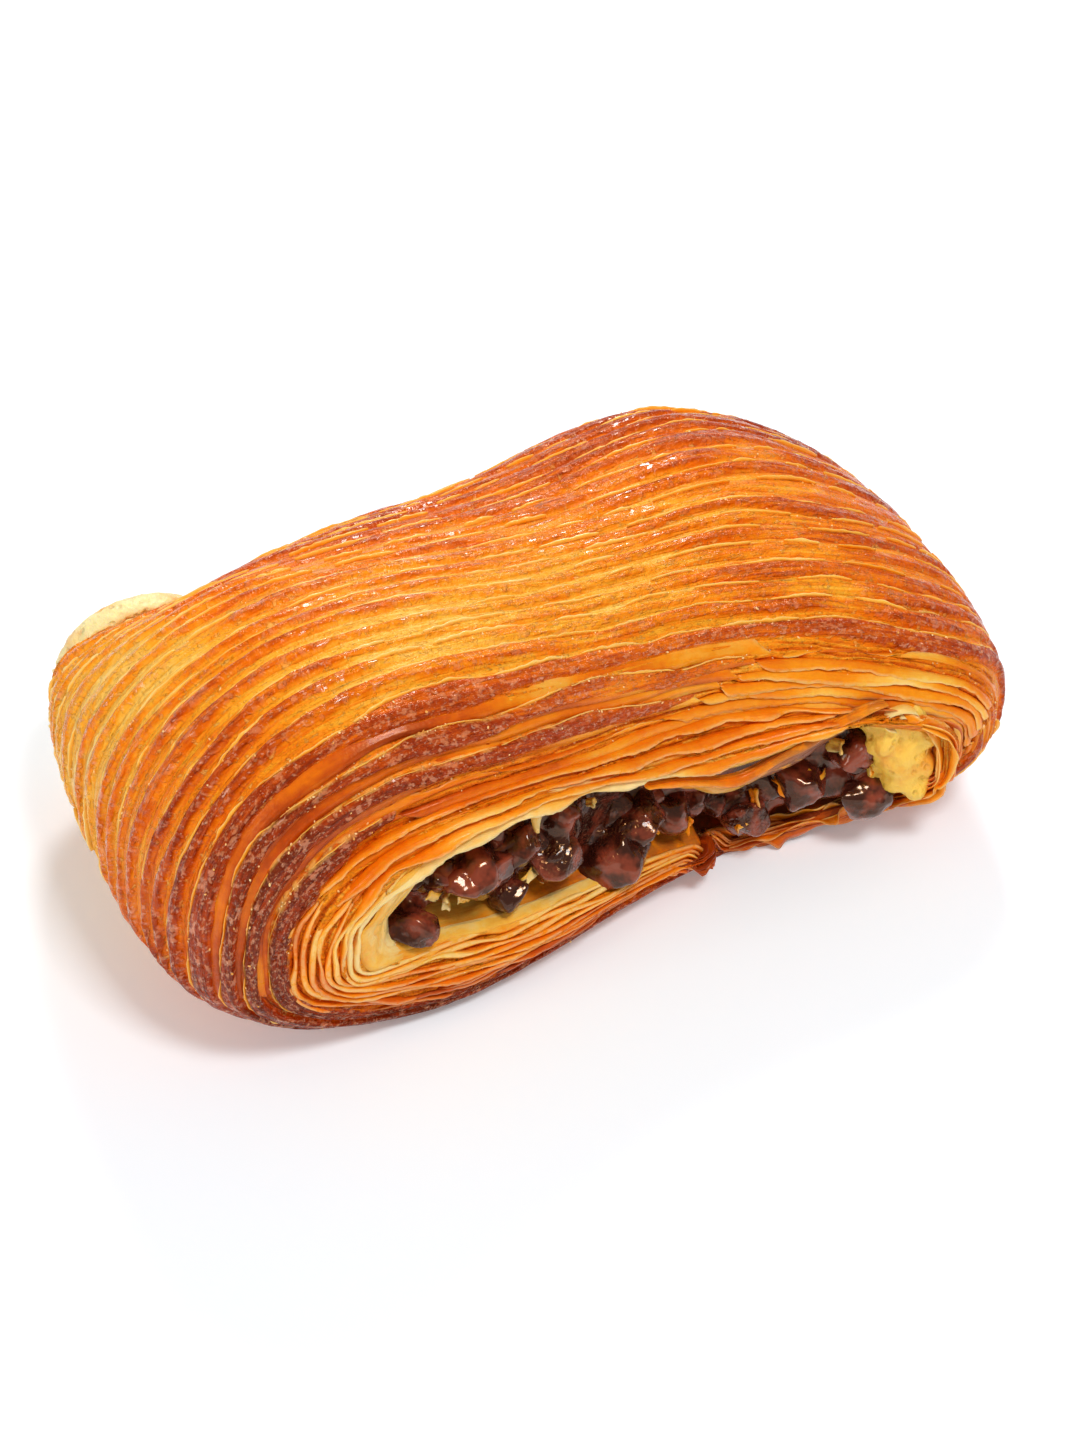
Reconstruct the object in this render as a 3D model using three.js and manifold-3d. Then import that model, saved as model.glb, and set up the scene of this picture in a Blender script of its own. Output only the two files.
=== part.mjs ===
// A folded, cross-laminated pastry filled with custard and chocolate chips.
//
// The dough is a thick sheet folded round into a flat tube that lies on its side. The tube's two
// long cut faces look to the front (-Y) and the back (+Y), its folded ends look left and right
// (-X and +X), and the filling runs through it from the front opening to the back opening.
//
// Millimetres, +Z up. The origin is under the middle of the pastry, on the table.
//
// A point of the dough is found from two numbers: turn, the angle round the folded tube seen
// from the front (0 at the right end, a quarter turn on the crown), and across, from -1 on the
// rim of the front face to 1 on the rim of the back face.

import * as THREE from 'three';
import { mergeVertices } from 'three/addons/utils/BufferGeometryUtils.js';
import Module from 'manifold-3d';

// ---------------------------------------------------------------- driving dimensions

const LENGTH = 140; // end to end
const DEPTH = 72.7; // front rim to back rim
const CENTRE_BACK = 1.2; // how far the middle of the whole lies behind the middle of the rims

const BELLY = 19.1; // height of the widest level of both ends
const CROWN_RISE = 26.3; // from the belly to the plain crown
const UNDER_DROP = 21.1; // from the belly down to the round that the tray then flattens

const END_ROUND = { left: 3.19, right: 2.28 }; // 2 is an ellipse, more is squarer
const CROWN_ROUND = 2.72;
const UNDER_ROUND = 2.2;

// How the crust rolls over to each cut face: roundness of the roll, share of the crown height
// that is left at the rim, and share of the length that each end loses by then.
const FRONT_ROLL = { round: 2.72, crown: 0.479, ends: 0.216 };
const BACK_ROLL = { round: 1.79, crown: 0.53, ends: 0.107 };

// Two humps on the crown. Places and widths are shares of half the length; lean moves a hump
// towards the back (positive) or the front (negative).
const LEFT_HUMP = { at: -0.719, width: 0.782, height: 0.435, lean: -1 };
const RIGHT_HUMP = { at: 0.529, width: 0.37, height: 0.264, lean: 0.84 };

const WAIST = { at: 0.333, width: 0.507, depth: 0.248 }; // the front face draws in here
const SHOULDER = { at: -0.72, width: 0.28, drop: 5 }; // the back left corner falls away

// Share of the under drop that is left at a rim: the front left, the front middle, the loose
// end that lies flat, and the back.
const UNDER_RIM = { frontLeft: 0.74, frontMiddle: 0.6, looseEnd: 0.93, back: 0.665 };

// The fold's inner end: left of the tear a thick lip carries the filling, and right of it only
// the thin loose end of the sheet is left, drawn back from the front face.
const TEAR = { from: 15.5, to: 19, lipDrop: 4.4, drawnBack: 5.5 };
const LOOSE_END = { from: 46, to: 54 };

// The openings: middle, half length, roundness, and the heights of the upper and lower edges
// from left to right.
const FRONT_OPENING = {
  middle: 6.1,
  half: 44.8,
  round: { left: 3.4, right: 3, top: 4.5, bottom: 3.4 },
  upper: [
    [-38.7, 27], [-30, 32.8], [-12, 34.4], [-4, 32], [10, 25.2], [20, 22], [28, 23], [36, 27.4],
    [42, 29.5], [50.9, 29.7],
  ],
  lower: [[-38.7, 14.5], [-10, 12.3], [8, 9], [20, 7.7], [50, 7]],
};
const BACK_OPENING = {
  middle: -6.5,
  half: 50,
  round: { left: 3.2, right: 3, top: 2.6, bottom: 3 },
  upper: [[-57, 24.5], [-20, 25.5], [10, 25.5], [44, 23]],
  lower: [[-57, 13], [-20, 12], [15, 9], [44, 9]],
};

const FACE_SWELL = { front: 2.2, back: 1.5 }; // how far the cut faces bulge
const LIP_TURN_IN = 2; // how far the openings' edges lie behind the faces

// Ridges where the cut edges of the layers reach the crust: three thick ones at the front rim,
// then an even run to the back rim.
const FRONT_RIDGES = [-0.985, -0.938, -0.829];
const RIDGE_RUN = { from: -0.73, to: 0.985, count: 16 };
const RIDGE_RELIEF = { thick: 0.75, thin: 0.45 };
const LAYER_RELIEF = 0.35; // steps between the layers on the cut faces

const TURN_STEPS = 86; // facets round the tube
const FRONT_ROWS = [0, 0.1, 0.26, 0.42, 0.58, 0.74, 0.9]; // from the opening out to the rim
const BACK_ROWS = [0.93, 0.72, 0.5, 0.28, 0.1, 0]; // from the rim in to the opening
const WALL_ROWS = [0.12, 0.5, 0.88]; // from the back opening to the front one

const GAP = 0.35; // clearance between the dough, the custard and the chocolate
const SLIVER = 0.05; // facets thinner than this are left out of a cut solid

// The filling: a bed of custard with the chips on it, and a block of custard at the right end.
const CUSTARD_BED = 4.2; // depth of the bed over the lower edge
const BED_STEP = 7; // facets of the bed along the pastry
const CUSTARD_BLOCK = 43.4; // left side of the block at the front
const BLOCK_SLANT = 0.15; // how fast it widens to the left towards the back
const CUSTARD_SET_BACK = 10; // how far the bed lies behind both faces
const BLOCK_SET_BACK = 2; // how far the block lies behind the front face
const CORE_SET_BACK = 4.5; // the same for the middle of the chip heap
const CHIPS_LEFT = -35; // left side of the middle of the chip heap
const FAR = 60; // past every surface of the pastry

// Custard that has swelled out of the back opening and over its rim.
const CUSTARD_SWELL = { at: [-50, 34.5, 20], half: [14.5, 7, 13.2] };

// Chips that show at the front: place along and up, how far behind the face, and width.
const FRONT_CHIPS = [
  [-34.6, 18.4, 2.5, 6.2], [-29.2, 24.2, 4, 5.6], [-24.1, 23.6, 2.5, 8.2], [-17, 24.8, 3.5, 6.8],
  [-19, 16.6, 3, 6], [-10.6, 19.2, 3.5, 7.6], [-9, 24, 4.5, 6], [0.4, 13.4, 3, 7.8],
  [5.2, 17, 3.5, 7.6], [11.6, 13.6, 3.8, 6.6], [16.4, 12.6, 5, 5], [25, 7.4, 5, 7],
  [32.6, 13.2, 3.8, 7.6], [43, 9.6, 3, 7.4], [40.6, 18, 3.5, 6.2],
];
const BACK_CHIPS = { from: -27, to: 38, count: 9, width: 7, seed: 20 };
const CHIP_LUMPS = 0.16; // unevenness of a chip, as a share of its radius

const COLOURS = { dough: 0xc9761e, custard: 0xf3e2a0, chocolate: 0x2a1410 };

// ---------------------------------------------------------------- small helpers

const { clamp, lerp, smoothstep } = THREE.MathUtils;

/** Signed power that turns a cosine or sine into a squarer or rounder one. */
const bow = (value, round) => Math.sign(value) * Math.abs(value) ** (2 / round);

/** Bell of height 1 round a place. */
const bell = (value, { at, width }) => Math.exp(-(((value - at) / width) ** 2));

/** Height at x on a smooth curve through [x, height] points. */
function curveHeight(points, x) {
  const last = points.length - 1;
  const slope = (i) => {
    const [before, after] = [points[Math.max(i - 1, 0)], points[Math.min(i + 1, last)]];
    return (after[1] - before[1]) / (after[0] - before[0]);
  };
  let i = 0;
  while (i < last - 1 && x > points[i + 1][0]) i += 1;
  const [start, end] = [points[i], points[i + 1]];
  const span = end[0] - start[0];
  const t = clamp((x - start[0]) / span, 0, 1);
  return (2 * t ** 3 - 3 * t ** 2 + 1) * start[1] + (t ** 3 - 2 * t ** 2 + t) * span * slope(i)
    + (3 * t ** 2 - 2 * t ** 3) * end[1] + (t ** 3 - t ** 2) * span * slope(i + 1);
}

/** Seeded random numbers from 0 to 1. */
function randomFrom(seed) {
  let state = seed;
  return () => {
    state = (state + 0x6d2b79f5) | 0;
    let mixed = Math.imul(state ^ (state >>> 15), 1 | state);
    mixed = (mixed + Math.imul(mixed ^ (mixed >>> 7), 61 | mixed)) ^ mixed;
    return ((mixed ^ (mixed >>> 14)) >>> 0) / 4294967296;
  };
}

// ---------------------------------------------------------------- the dough's surface

/** How much a place belongs to the thin loose end under the right part, from 0 to 1. */
function looseEnd(turn, x) {
  const under = clamp(-1.6 * Math.sin(turn), 0, 1);
  return under * smoothstep(x, TEAR.from, TEAR.to) * (1 - smoothstep(x, LOOSE_END.from, LOOSE_END.to));
}

/** Smooth crust, before its ridges. */
function crust(turn, across) {
  const isFront = across < 0;
  const roll = isFront ? FRONT_ROLL : BACK_ROLL;
  const fullness = (1 - Math.min(Math.abs(across), 1) ** roll.round) ** (1 / roll.round);
  const isRight = Math.cos(turn) > 0;
  const along = bow(Math.cos(turn), isRight ? END_ROUND.right : END_ROUND.left);
  const x = (LENGTH / 2) * along * (1 - roll.ends * (1 - fullness));
  const drawnIn = isFront ? WAIST.depth * bell(along, WAIST) : 0;
  const loose = looseEnd(turn, x);
  let y = (DEPTH / 2) * across * (1 - drawnIn);
  y += TEAR.drawnBack * loose * clamp((-across - 0.3) / 0.7, 0, 1);
  if (Math.sin(turn) > 0) {
    const up = bow(Math.sin(turn), CROWN_ROUND);
    const humps = [LEFT_HUMP, RIGHT_HUMP]
      .reduce((sum, hump) => sum + hump.height * bell(along, hump) * (1 + hump.lean * across), 1);
    const drop = SHOULDER.drop * up * bell(along, SHOULDER) * smoothstep(across, 0.3, 0.95);
    const rolled = lerp(roll.crown, 1, fullness);
    return new THREE.Vector3(x, y, BELLY + CROWN_RISE * humps * up * rolled - drop);
  }
  const down = bow(Math.sin(turn), UNDER_ROUND);
  const front = lerp(UNDER_RIM.frontLeft, UNDER_RIM.frontMiddle, smoothstep(along, -0.7, 0.1));
  const atRim = isFront ? lerp(front, UNDER_RIM.looseEnd, loose) : UNDER_RIM.back;
  return new THREE.Vector3(x, y, BELLY + UNDER_DROP * down * lerp(atRim, 1, fullness));
}

/** Edge of an opening, made smaller all round by inset. */
function openingEdge(opening, turn, inset = 0) {
  const { round, middle, half, upper, lower } = opening;
  const along = bow(Math.cos(turn), Math.cos(turn) > 0 ? round.right : round.left);
  const up = bow(Math.sin(turn), Math.sin(turn) > 0 ? round.top : round.bottom);
  const x = middle + (half - inset) * along;
  const top = curveHeight(upper, x) - inset;
  const bottom = curveHeight(lower, x) - TEAR.lipDrop * smoothstep(x, TEAR.from, TEAR.to) + inset;
  return { x, z: lerp(bottom, top, (1 + up) / 2) };
}

/** Front face's y at x, before it swells. */
function frontFace(x) {
  const along = x / ((LENGTH / 2) * (1 - FRONT_ROLL.ends));
  return (-DEPTH / 2) * (1 - WAIST.depth * bell(along, WAIST));
}

/** Point on the front cut face: out is 0 at the opening and 1 at the rim. */
function frontPoint(turn, out, clear = 0) {
  const rim = crust(turn, -1);
  const edge = openingEdge(FRONT_OPENING, turn, clear);
  const x = lerp(edge.x, rim.x, out);
  const swell = FACE_SWELL.front * (1 + 0.5 * Math.sin(turn)) * Math.sin(Math.PI * out ** 0.8);
  const turnIn = LIP_TURN_IN * (1 - out) ** 3;
  const y = frontFace(x) - swell + turnIn + TEAR.drawnBack * looseEnd(turn, x) - clear;
  return new THREE.Vector3(x, y, lerp(edge.z, rim.z, out));
}

/** Point on the back cut face: out is 0 at the opening and 1 at the rim. */
function backPoint(turn, out, clear = 0) {
  const rim = crust(turn, 1);
  const edge = openingEdge(BACK_OPENING, turn, clear);
  const swell = FACE_SWELL.back * Math.sin(Math.PI * out ** 0.8);
  const y = DEPTH / 2 + swell - LIP_TURN_IN * (1 - out) ** 3 + clear;
  return new THREE.Vector3(lerp(edge.x, rim.x, out), y, lerp(edge.z, rim.z, out));
}

/** Point on the wall of the hollow: forward is 0 at the back opening and 1 at the front. */
function wallPoint(turn, forward, clear = 0) {
  const back = backPoint(turn, 0, clear);
  const front = frontPoint(turn, 0, clear);
  const turned = smoothstep(forward, 0, 1);
  return new THREE.Vector3(
    lerp(back.x, front.x, turned),
    lerp(back.y, front.y, forward),
    lerp(back.z, front.z, turned),
  );
}

/** Crust point moved out along the crust's own normal. */
function crustRaised(turn, across, height) {
  const step = 1e-3;
  const ahead = Math.min(across + step, 0.9995);
  const round = crust(turn + step, across).sub(crust(turn - step, across));
  const over = crust(turn, ahead).sub(crust(turn, ahead - 2 * step));
  const normal = over.cross(round).normalize();
  return crust(turn, across).addScaledVector(normal, height);
}

/** Turns that stand at even distances round the middle of the crust. */
function evenTurns(count) {
  const fine = 4000;
  const lengths = [0];
  for (let i = 1; i <= fine; i += 1) {
    const [a, b] = [i - 1, i].map((k) => crust((2 * Math.PI * k) / fine, 0));
    lengths.push(lengths[i - 1] + a.distanceTo(b));
  }
  const turns = [];
  let i = 0;
  for (let k = 0; k < count; k += 1) {
    const wanted = ((k + 0.5) / count) * lengths[fine];
    while (lengths[i + 1] < wanted) i += 1;
    turns.push((2 * Math.PI * (i + (wanted - lengths[i]) / (lengths[i + 1] - lengths[i]))) / fine);
  }
  return turns;
}

/** Rows of the crust in order, each with its height over or under the smooth crust. */
function ridgeRows() {
  const run = Array.from({ length: RIDGE_RUN.count }, (_, i) => (
    lerp(RIDGE_RUN.from, RIDGE_RUN.to, i / (RIDGE_RUN.count - 1))));
  const crests = [...FRONT_RIDGES, ...run];
  const rows = [];
  crests.forEach((crest, i) => {
    const height = i < FRONT_RIDGES.length ? RIDGE_RELIEF.thick : RIDGE_RELIEF.thin;
    rows.push({ across: crest, height });
    if (i < crests.length - 1) rows.push({ across: (crest + crests[i + 1]) / 2, height: -height });
  });
  return rows;
}

// ---------------------------------------------------------------- meshes and solids

/** Closed surface from rings of points; ends are capped unless the rings close on themselves. */
function ringGeometry(rings, { closed }) {
  const count = rings[0].length;
  const positions = rings.flat().flatMap((p) => [p.x, p.y, p.z]);
  const indices = [];
  const last = closed ? rings.length : rings.length - 1;
  for (let r = 0; r < last; r += 1) {
    const [near, far] = [r * count, ((r + 1) % rings.length) * count];
    for (let i = 0; i < count; i += 1) {
      const next = (i + 1) % count;
      indices.push(near + i, near + next, far + i, near + next, far + next, far + i);
    }
  }
  if (!closed) {
    [0, rings.length - 1].forEach((r, end) => {
      const middle = positions.length / 3;
      const centre = rings[r].reduce((sum, p) => sum.add(p), new THREE.Vector3())
        .divideScalar(count);
      positions.push(centre.x, centre.y, centre.z);
      for (let i = 0; i < count; i += 1) {
        const pair = [r * count + i, r * count + ((i + 1) % count)];
        indices.push(middle, pair[end ? 0 : 1], pair[end ? 1 : 0]);
      }
    });
  }
  const geometry = new THREE.BufferGeometry();
  geometry.setAttribute('position', new THREE.Float32BufferAttribute(positions, 3));
  geometry.setIndex(indices);
  return geometry;
}

const wasm = await Module();
wasm.setup();

/** Solid for cutting and joining, from a closed geometry. */
function toSolid(geometry) {
  const bare = geometry.clone();
  bare.deleteAttribute('normal');
  bare.deleteAttribute('uv');
  const merged = mergeVertices(bare, 1e-5);
  return new wasm.Manifold(new wasm.Mesh({
    numProp: 3,
    vertProperties: new Float32Array(merged.attributes.position.array),
    triVerts: new Uint32Array(merged.index.array),
  }));
}

/** Geometry of a solid's largest body, without slivers. */
function toGeometry(solid) {
  const body = solid.decompose().sort((a, b) => b.volume() - a.volume())[0];
  const mesh = body.simplify(SLIVER).getMesh();
  const geometry = new THREE.BufferGeometry();
  geometry.setAttribute('position', new THREE.BufferAttribute(mesh.vertProperties, 3));
  geometry.setIndex(new THREE.BufferAttribute(mesh.triVerts, 1));
  return geometry;
}

const turns = evenTurns(TURN_STEPS);

/** The dough, with its openings and faces grown by clear; the tray keeps its base flat. */
function doughGeometry(clear = 0) {
  const onTray = (point) => point.setZ(Math.max(point.z, 0));
  const step = (i, count) => (i === 0 || i === count - 1 ? 0 : (i % 2 ? 1 : -1) * LAYER_RELIEF);
  const rings = ridgeRows().map(({ across, height }) => (
    turns.map((turn) => onTray(crustRaised(turn, across, height + clear)))));
  BACK_ROWS.forEach((out, i) => rings.push(turns.map((turn) => {
    const point = backPoint(turn, out, clear);
    return onTray(point.setY(point.y + step(i, BACK_ROWS.length)));
  })));
  WALL_ROWS.forEach((forward) => rings.push(turns.map((turn) => wallPoint(turn, forward, clear))));
  FRONT_ROWS.forEach((out, i) => rings.push(turns.map((turn) => {
    const point = frontPoint(turn, out, clear);
    return onTray(point.setY(point.y - step(i, FRONT_ROWS.length)));
  })));
  return ringGeometry(rings.reverse(), { closed: true });
}

/** Everything that can lie in the hollow, clear of its wall. */
function hollowGeometry() {
  const rows = [0, ...WALL_ROWS, 1];
  const some = turns.filter((_, i) => i % 2 === 0);
  const rings = rows.map((forward) => some.map((turn) => wallPoint(turn, forward, 2 * GAP)));
  return ringGeometry(rings, { closed: false });
}

/** Level between the custard bed and the chips at x. */
const bedTop = (x) => curveHeight(FRONT_OPENING.lower, x) + CUSTARD_BED
  - TEAR.lipDrop * smoothstep(x, TEAR.from, TEAR.to);

/** Six-sided room whose sides follow its stations from left to right. */
function room(count, station) {
  const rings = Array.from({ length: count }, (_, i) => {
    const { x, backX = x, front, back, bottom, top } = station(i, i / (count - 1));
    return [[x, front, bottom], [x, front, top], [backX, back, top], [backX, back, bottom]]
      .map((corner) => new THREE.Vector3(...corner));
  });
  return toSolid(ringGeometry(rings.reverse(), { closed: false }));
}

/** Room of the chips: over the bed and behind the front. */
const chipRoom = () => room((LENGTH / 2 - CHIPS_LEFT) / BED_STEP + 1, (i) => {
  const x = CHIPS_LEFT + i * BED_STEP;
  const front = frontFace(x) + CORE_SET_BACK;
  return { x, front, back: DEPTH, bottom: bedTop(x) + GAP / 2, top: FAR };
});

/** Room of the custard bed under the chips. */
const bedRoom = () => room(LENGTH / BED_STEP + 1, (i) => {
  const x = -LENGTH / 2 + i * BED_STEP;
  const front = frontFace(x) + CUSTARD_SET_BACK;
  return { x, front, back: DEPTH / 2 - CUSTARD_SET_BACK, bottom: -FAR, top: bedTop(x) - GAP / 2 };
});

/** Room of the custard to the left of the chips, in the back half. */
const leftRoom = () => room(2, (i) => (
  { x: i ? CHIPS_LEFT - GAP : -LENGTH, front: 0, back: DEPTH, bottom: -FAR, top: FAR }));

/** Room of the custard block at the right end, grown by clear; it widens towards the back. */
const blockRoom = (clear) => room(5, (i, share) => {
  const side = (y) => CUSTARD_BLOCK - BLOCK_SLANT * (y + DEPTH / 2) - clear;
  const front = frontFace(lerp(CUSTARD_BLOCK, LENGTH / 2, share)) + BLOCK_SET_BACK - clear;
  const [x, backX] = [front, DEPTH].map((y) => lerp(side(y), LENGTH, share));
  return { x, backX, front, back: DEPTH, bottom: -FAR, top: FAR };
});

/** One uneven chip. */
function chipSolid({ x, y, z, width, random }) {
  const geometry = new THREE.IcosahedronGeometry(width / 2, 1);
  geometry.deleteAttribute('normal');
  geometry.deleteAttribute('uv');
  const merged = mergeVertices(geometry, 1e-4);
  const place = merged.attributes.position;
  const stretch = new THREE.Vector3(1 + 0.15 * random(), 0.95 + 0.2 * random(), 0.85 + 0.15 * random());
  for (let i = 0; i < place.count; i += 1) {
    const point = new THREE.Vector3().fromBufferAttribute(place, i);
    point.multiplyScalar(1 + CHIP_LUMPS * (2 * random() - 1)).multiply(stretch);
    place.setXYZ(i, point.x, point.y, point.z);
  }
  merged.rotateY(random() * Math.PI);
  merged.translate(x, y, z);
  return toSolid(merged);
}

/** Heap of chips: a plain middle with the chips that show fused on at both openings. */
function chipHeap(hollow, walls) {
  const random = randomFrom(BACK_CHIPS.seed);
  const chips = FRONT_CHIPS.map(([x, z, behind, width]) => (
    { x, y: frontFace(x) + behind, z, width, random }));
  for (let i = 0; i < BACK_CHIPS.count; i += 1) {
    const x = lerp(BACK_CHIPS.from, BACK_CHIPS.to, i / (BACK_CHIPS.count - 1));
    const z = bedTop(x) + BACK_CHIPS.width * (0.2 + 0.8 * random());
    const width = BACK_CHIPS.width * (0.85 + 0.3 * random());
    chips.push({ x, y: DEPTH / 2 - 2.5 - 2 * random(), z, width, random });
  }
  return chips
    .reduce((heap, chip) => heap.add(chipSolid(chip)), hollow.intersect(chipRoom()))
    .subtract(walls)
    .subtract(blockRoom(GAP));
}

/** Custard: the bed, the block at the right end and the swell at the back left. */
function custardBody(hollow, walls) {
  const swell = new THREE.SphereGeometry(1, 26, 14);
  swell.scale(...CUSTARD_SWELL.half);
  swell.translate(...CUSTARD_SWELL.at);
  return hollow
    .intersect(bedRoom().add(leftRoom()).add(blockRoom(0)))
    .add(toSolid(swell).subtract(walls));
}

// ---------------------------------------------------------------- the pastry

/** Named mesh with a material of its own. */
function part(name, geometry, roughness) {
  const material = new THREE.MeshStandardMaterial({
    color: COLOURS[name] ?? COLOURS.chocolate, roughness, metalness: 0,
  });
  const mesh = new THREE.Mesh(geometry, material);
  mesh.name = name;
  return mesh;
}

const walls = toSolid(doughGeometry(GAP));
const hollow = toSolid(hollowGeometry());
const heap = chipHeap(hollow, walls);

const pastry = new THREE.Group();
pastry.add(
  part('dough', doughGeometry(), 0.4),
  part('custard', toGeometry(custardBody(hollow, walls)), 0.5),
  part('chocolate_chips', toGeometry(heap), 0.3),
);
pastry.position.y = -CENTRE_BACK;

export default pastry;
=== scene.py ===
"""A folded, cross-laminated pastry filled with custard and chocolate chips.

The dough is a thick sheet folded round into a flat tube that lies on its side. A point of it is
found from two numbers: turn, the angle round the tube seen from the front (0 at the right end, a
quarter turn on the crown), and across, from -1 on the rim of the front cut face to 1 on the rim of
the back one. Sizes are in millimetres until a mesh is made; +Z is up and the front looks to -Y.
"""

import logging
import math
from dataclasses import dataclass
from enum import Enum
from typing import Sequence, Union

import bmesh
import bpy
import numpy as np
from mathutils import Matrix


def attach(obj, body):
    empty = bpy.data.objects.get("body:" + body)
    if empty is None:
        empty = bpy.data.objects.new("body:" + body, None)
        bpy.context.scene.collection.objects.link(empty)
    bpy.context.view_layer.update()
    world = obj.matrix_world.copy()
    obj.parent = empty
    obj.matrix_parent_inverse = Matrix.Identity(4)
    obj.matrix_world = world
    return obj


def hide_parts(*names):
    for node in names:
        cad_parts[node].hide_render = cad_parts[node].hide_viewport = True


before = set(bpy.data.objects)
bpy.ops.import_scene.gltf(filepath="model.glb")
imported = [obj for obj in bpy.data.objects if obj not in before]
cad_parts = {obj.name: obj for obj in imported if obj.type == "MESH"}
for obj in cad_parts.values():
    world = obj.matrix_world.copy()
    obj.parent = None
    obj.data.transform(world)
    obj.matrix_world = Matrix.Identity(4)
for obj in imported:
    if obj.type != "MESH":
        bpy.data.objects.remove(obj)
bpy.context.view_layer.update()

LOG = logging.getLogger("pastry")

MM = 0.001
CENTRE_BACK = 1.2  # mm; the rims' middle lies this far in front of the origin
BODY = "root"
RIPPLE_WAVES = 14  # sine waves that make up one unevenness

Array = np.ndarray
Colour = tuple[float, float, float]


# ---------------------------------------------------------------- small helpers


def hex_colour(code: str) -> Colour:
    """Turn a display colour such as "f2b45a" into linear red, green and blue."""
    channels = (int(code[i:i + 2], 16) / 255 for i in (0, 2, 4))
    return tuple(c / 12.92 if c <= 0.04045 else ((c + 0.055) / 1.055) ** 2.4 for c in channels)


def blend(start: Array, end: Array, share: Array) -> Array:
    """Value that goes from start to end as share goes from 0 to 1."""
    return start + (end - start) * share


def smoothstep(value: Array, low: float, high: float) -> Array:
    """Smooth rise from 0 at low to 1 at high."""
    t = np.clip((value - low) / (high - low), 0, 1)
    return t * t * (3 - 2 * t)


def bow(value: Array, roundness: Array) -> Array:
    """Signed power that turns a cosine or sine into a squarer or rounder one."""
    return np.sign(value) * np.abs(value) ** (2 / roundness)


def bell(value: Array, at: float, width: float) -> Array:
    """Bell of height 1 round a place."""
    return np.exp(-(((value - at) / width) ** 2))


def ripple(seed: int, length: float, *at: Array) -> Array:
    """Smooth seeded unevenness, mostly between -1 and 1.

    Args:
        seed: Draw to use.
        length: Length of its waves, in the units of the place.
        at: Numbers that make up the place.

    Returns:
        The unevenness at each place.
    """
    random = np.random.default_rng(seed)
    total = 0.0
    for _ in range(RIPPLE_WAVES):
        way = random.normal(size=len(at))
        way = way * 2 * np.pi / length * random.uniform(0.6, 1.5) / np.linalg.norm(way)
        total = total + np.sin(sum(w * a for w, a in zip(way, at)) + random.uniform(0, 2 * np.pi))
    return total * math.sqrt(2 / RIPPLE_WAVES) / 1.6


def round_ripple(seed: int, length: float, flow: Array) -> Array:
    """Unevenness that runs round the loop without a seam, read from places along the layers."""
    return ripple(seed, length, flow[..., 0], flow[..., 1])


def tapered(count: int, start: float, power: float) -> Array:
    """Numbers along a sheet that rise from near 0 to 1 and fall again."""
    return np.sin(np.linspace(start, np.pi - start, count)) ** power


def unit(vectors: Array) -> Array:
    """Vectors of length 1 along the same ways."""
    return vectors / (np.linalg.norm(vectors, axis=-1, keepdims=True) + 1e-12)


def curve_height(points: Sequence[tuple[float, float]], x: Array) -> Array:
    """Height at x on a smooth curve.

    Args:
        points: Pairs of place and height, in order along x.
        x: Places to read the curve at.

    Returns:
        Heights, level with the end points outside them.
    """
    places, heights = np.array(points, float).T
    before = np.maximum(np.arange(len(places)) - 1, 0)
    after = np.minimum(np.arange(len(places)) + 1, len(places) - 1)
    slopes = (heights[after] - heights[before]) / (places[after] - places[before])
    i = np.clip(np.searchsorted(places, x) - 1, 0, len(places) - 2)
    span = places[i + 1] - places[i]
    t = np.clip((x - places[i]) / span, 0, 1)
    start = (2 * t**3 - 3 * t**2 + 1) * heights[i] + (t**3 - 2 * t**2 + t) * span * slopes[i]
    end = (3 * t**2 - 2 * t**3) * heights[i + 1] + (t**3 - t**2) * span * slopes[i + 1]
    return start + end


# ---------------------------------------------------------------- the pastry's form


@dataclass(frozen=True)
class Roll:
    """How the crust rolls over to a cut face: roundness, and what is left at the rim."""

    roundness: float
    crown: float
    ends: float


@dataclass(frozen=True)
class Hump:
    """A hump on the crown, in shares of half the length; lean moves it to the back."""

    at: float
    width: float
    height: float
    lean: float


@dataclass(frozen=True)
class Opening:
    """An opening of the folded tube, in millimetres."""

    middle: float
    half: float
    round_left: float
    round_right: float
    round_top: float
    round_bottom: float
    upper: tuple[tuple[float, float], ...]
    lower: tuple[tuple[float, float], ...]


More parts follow.
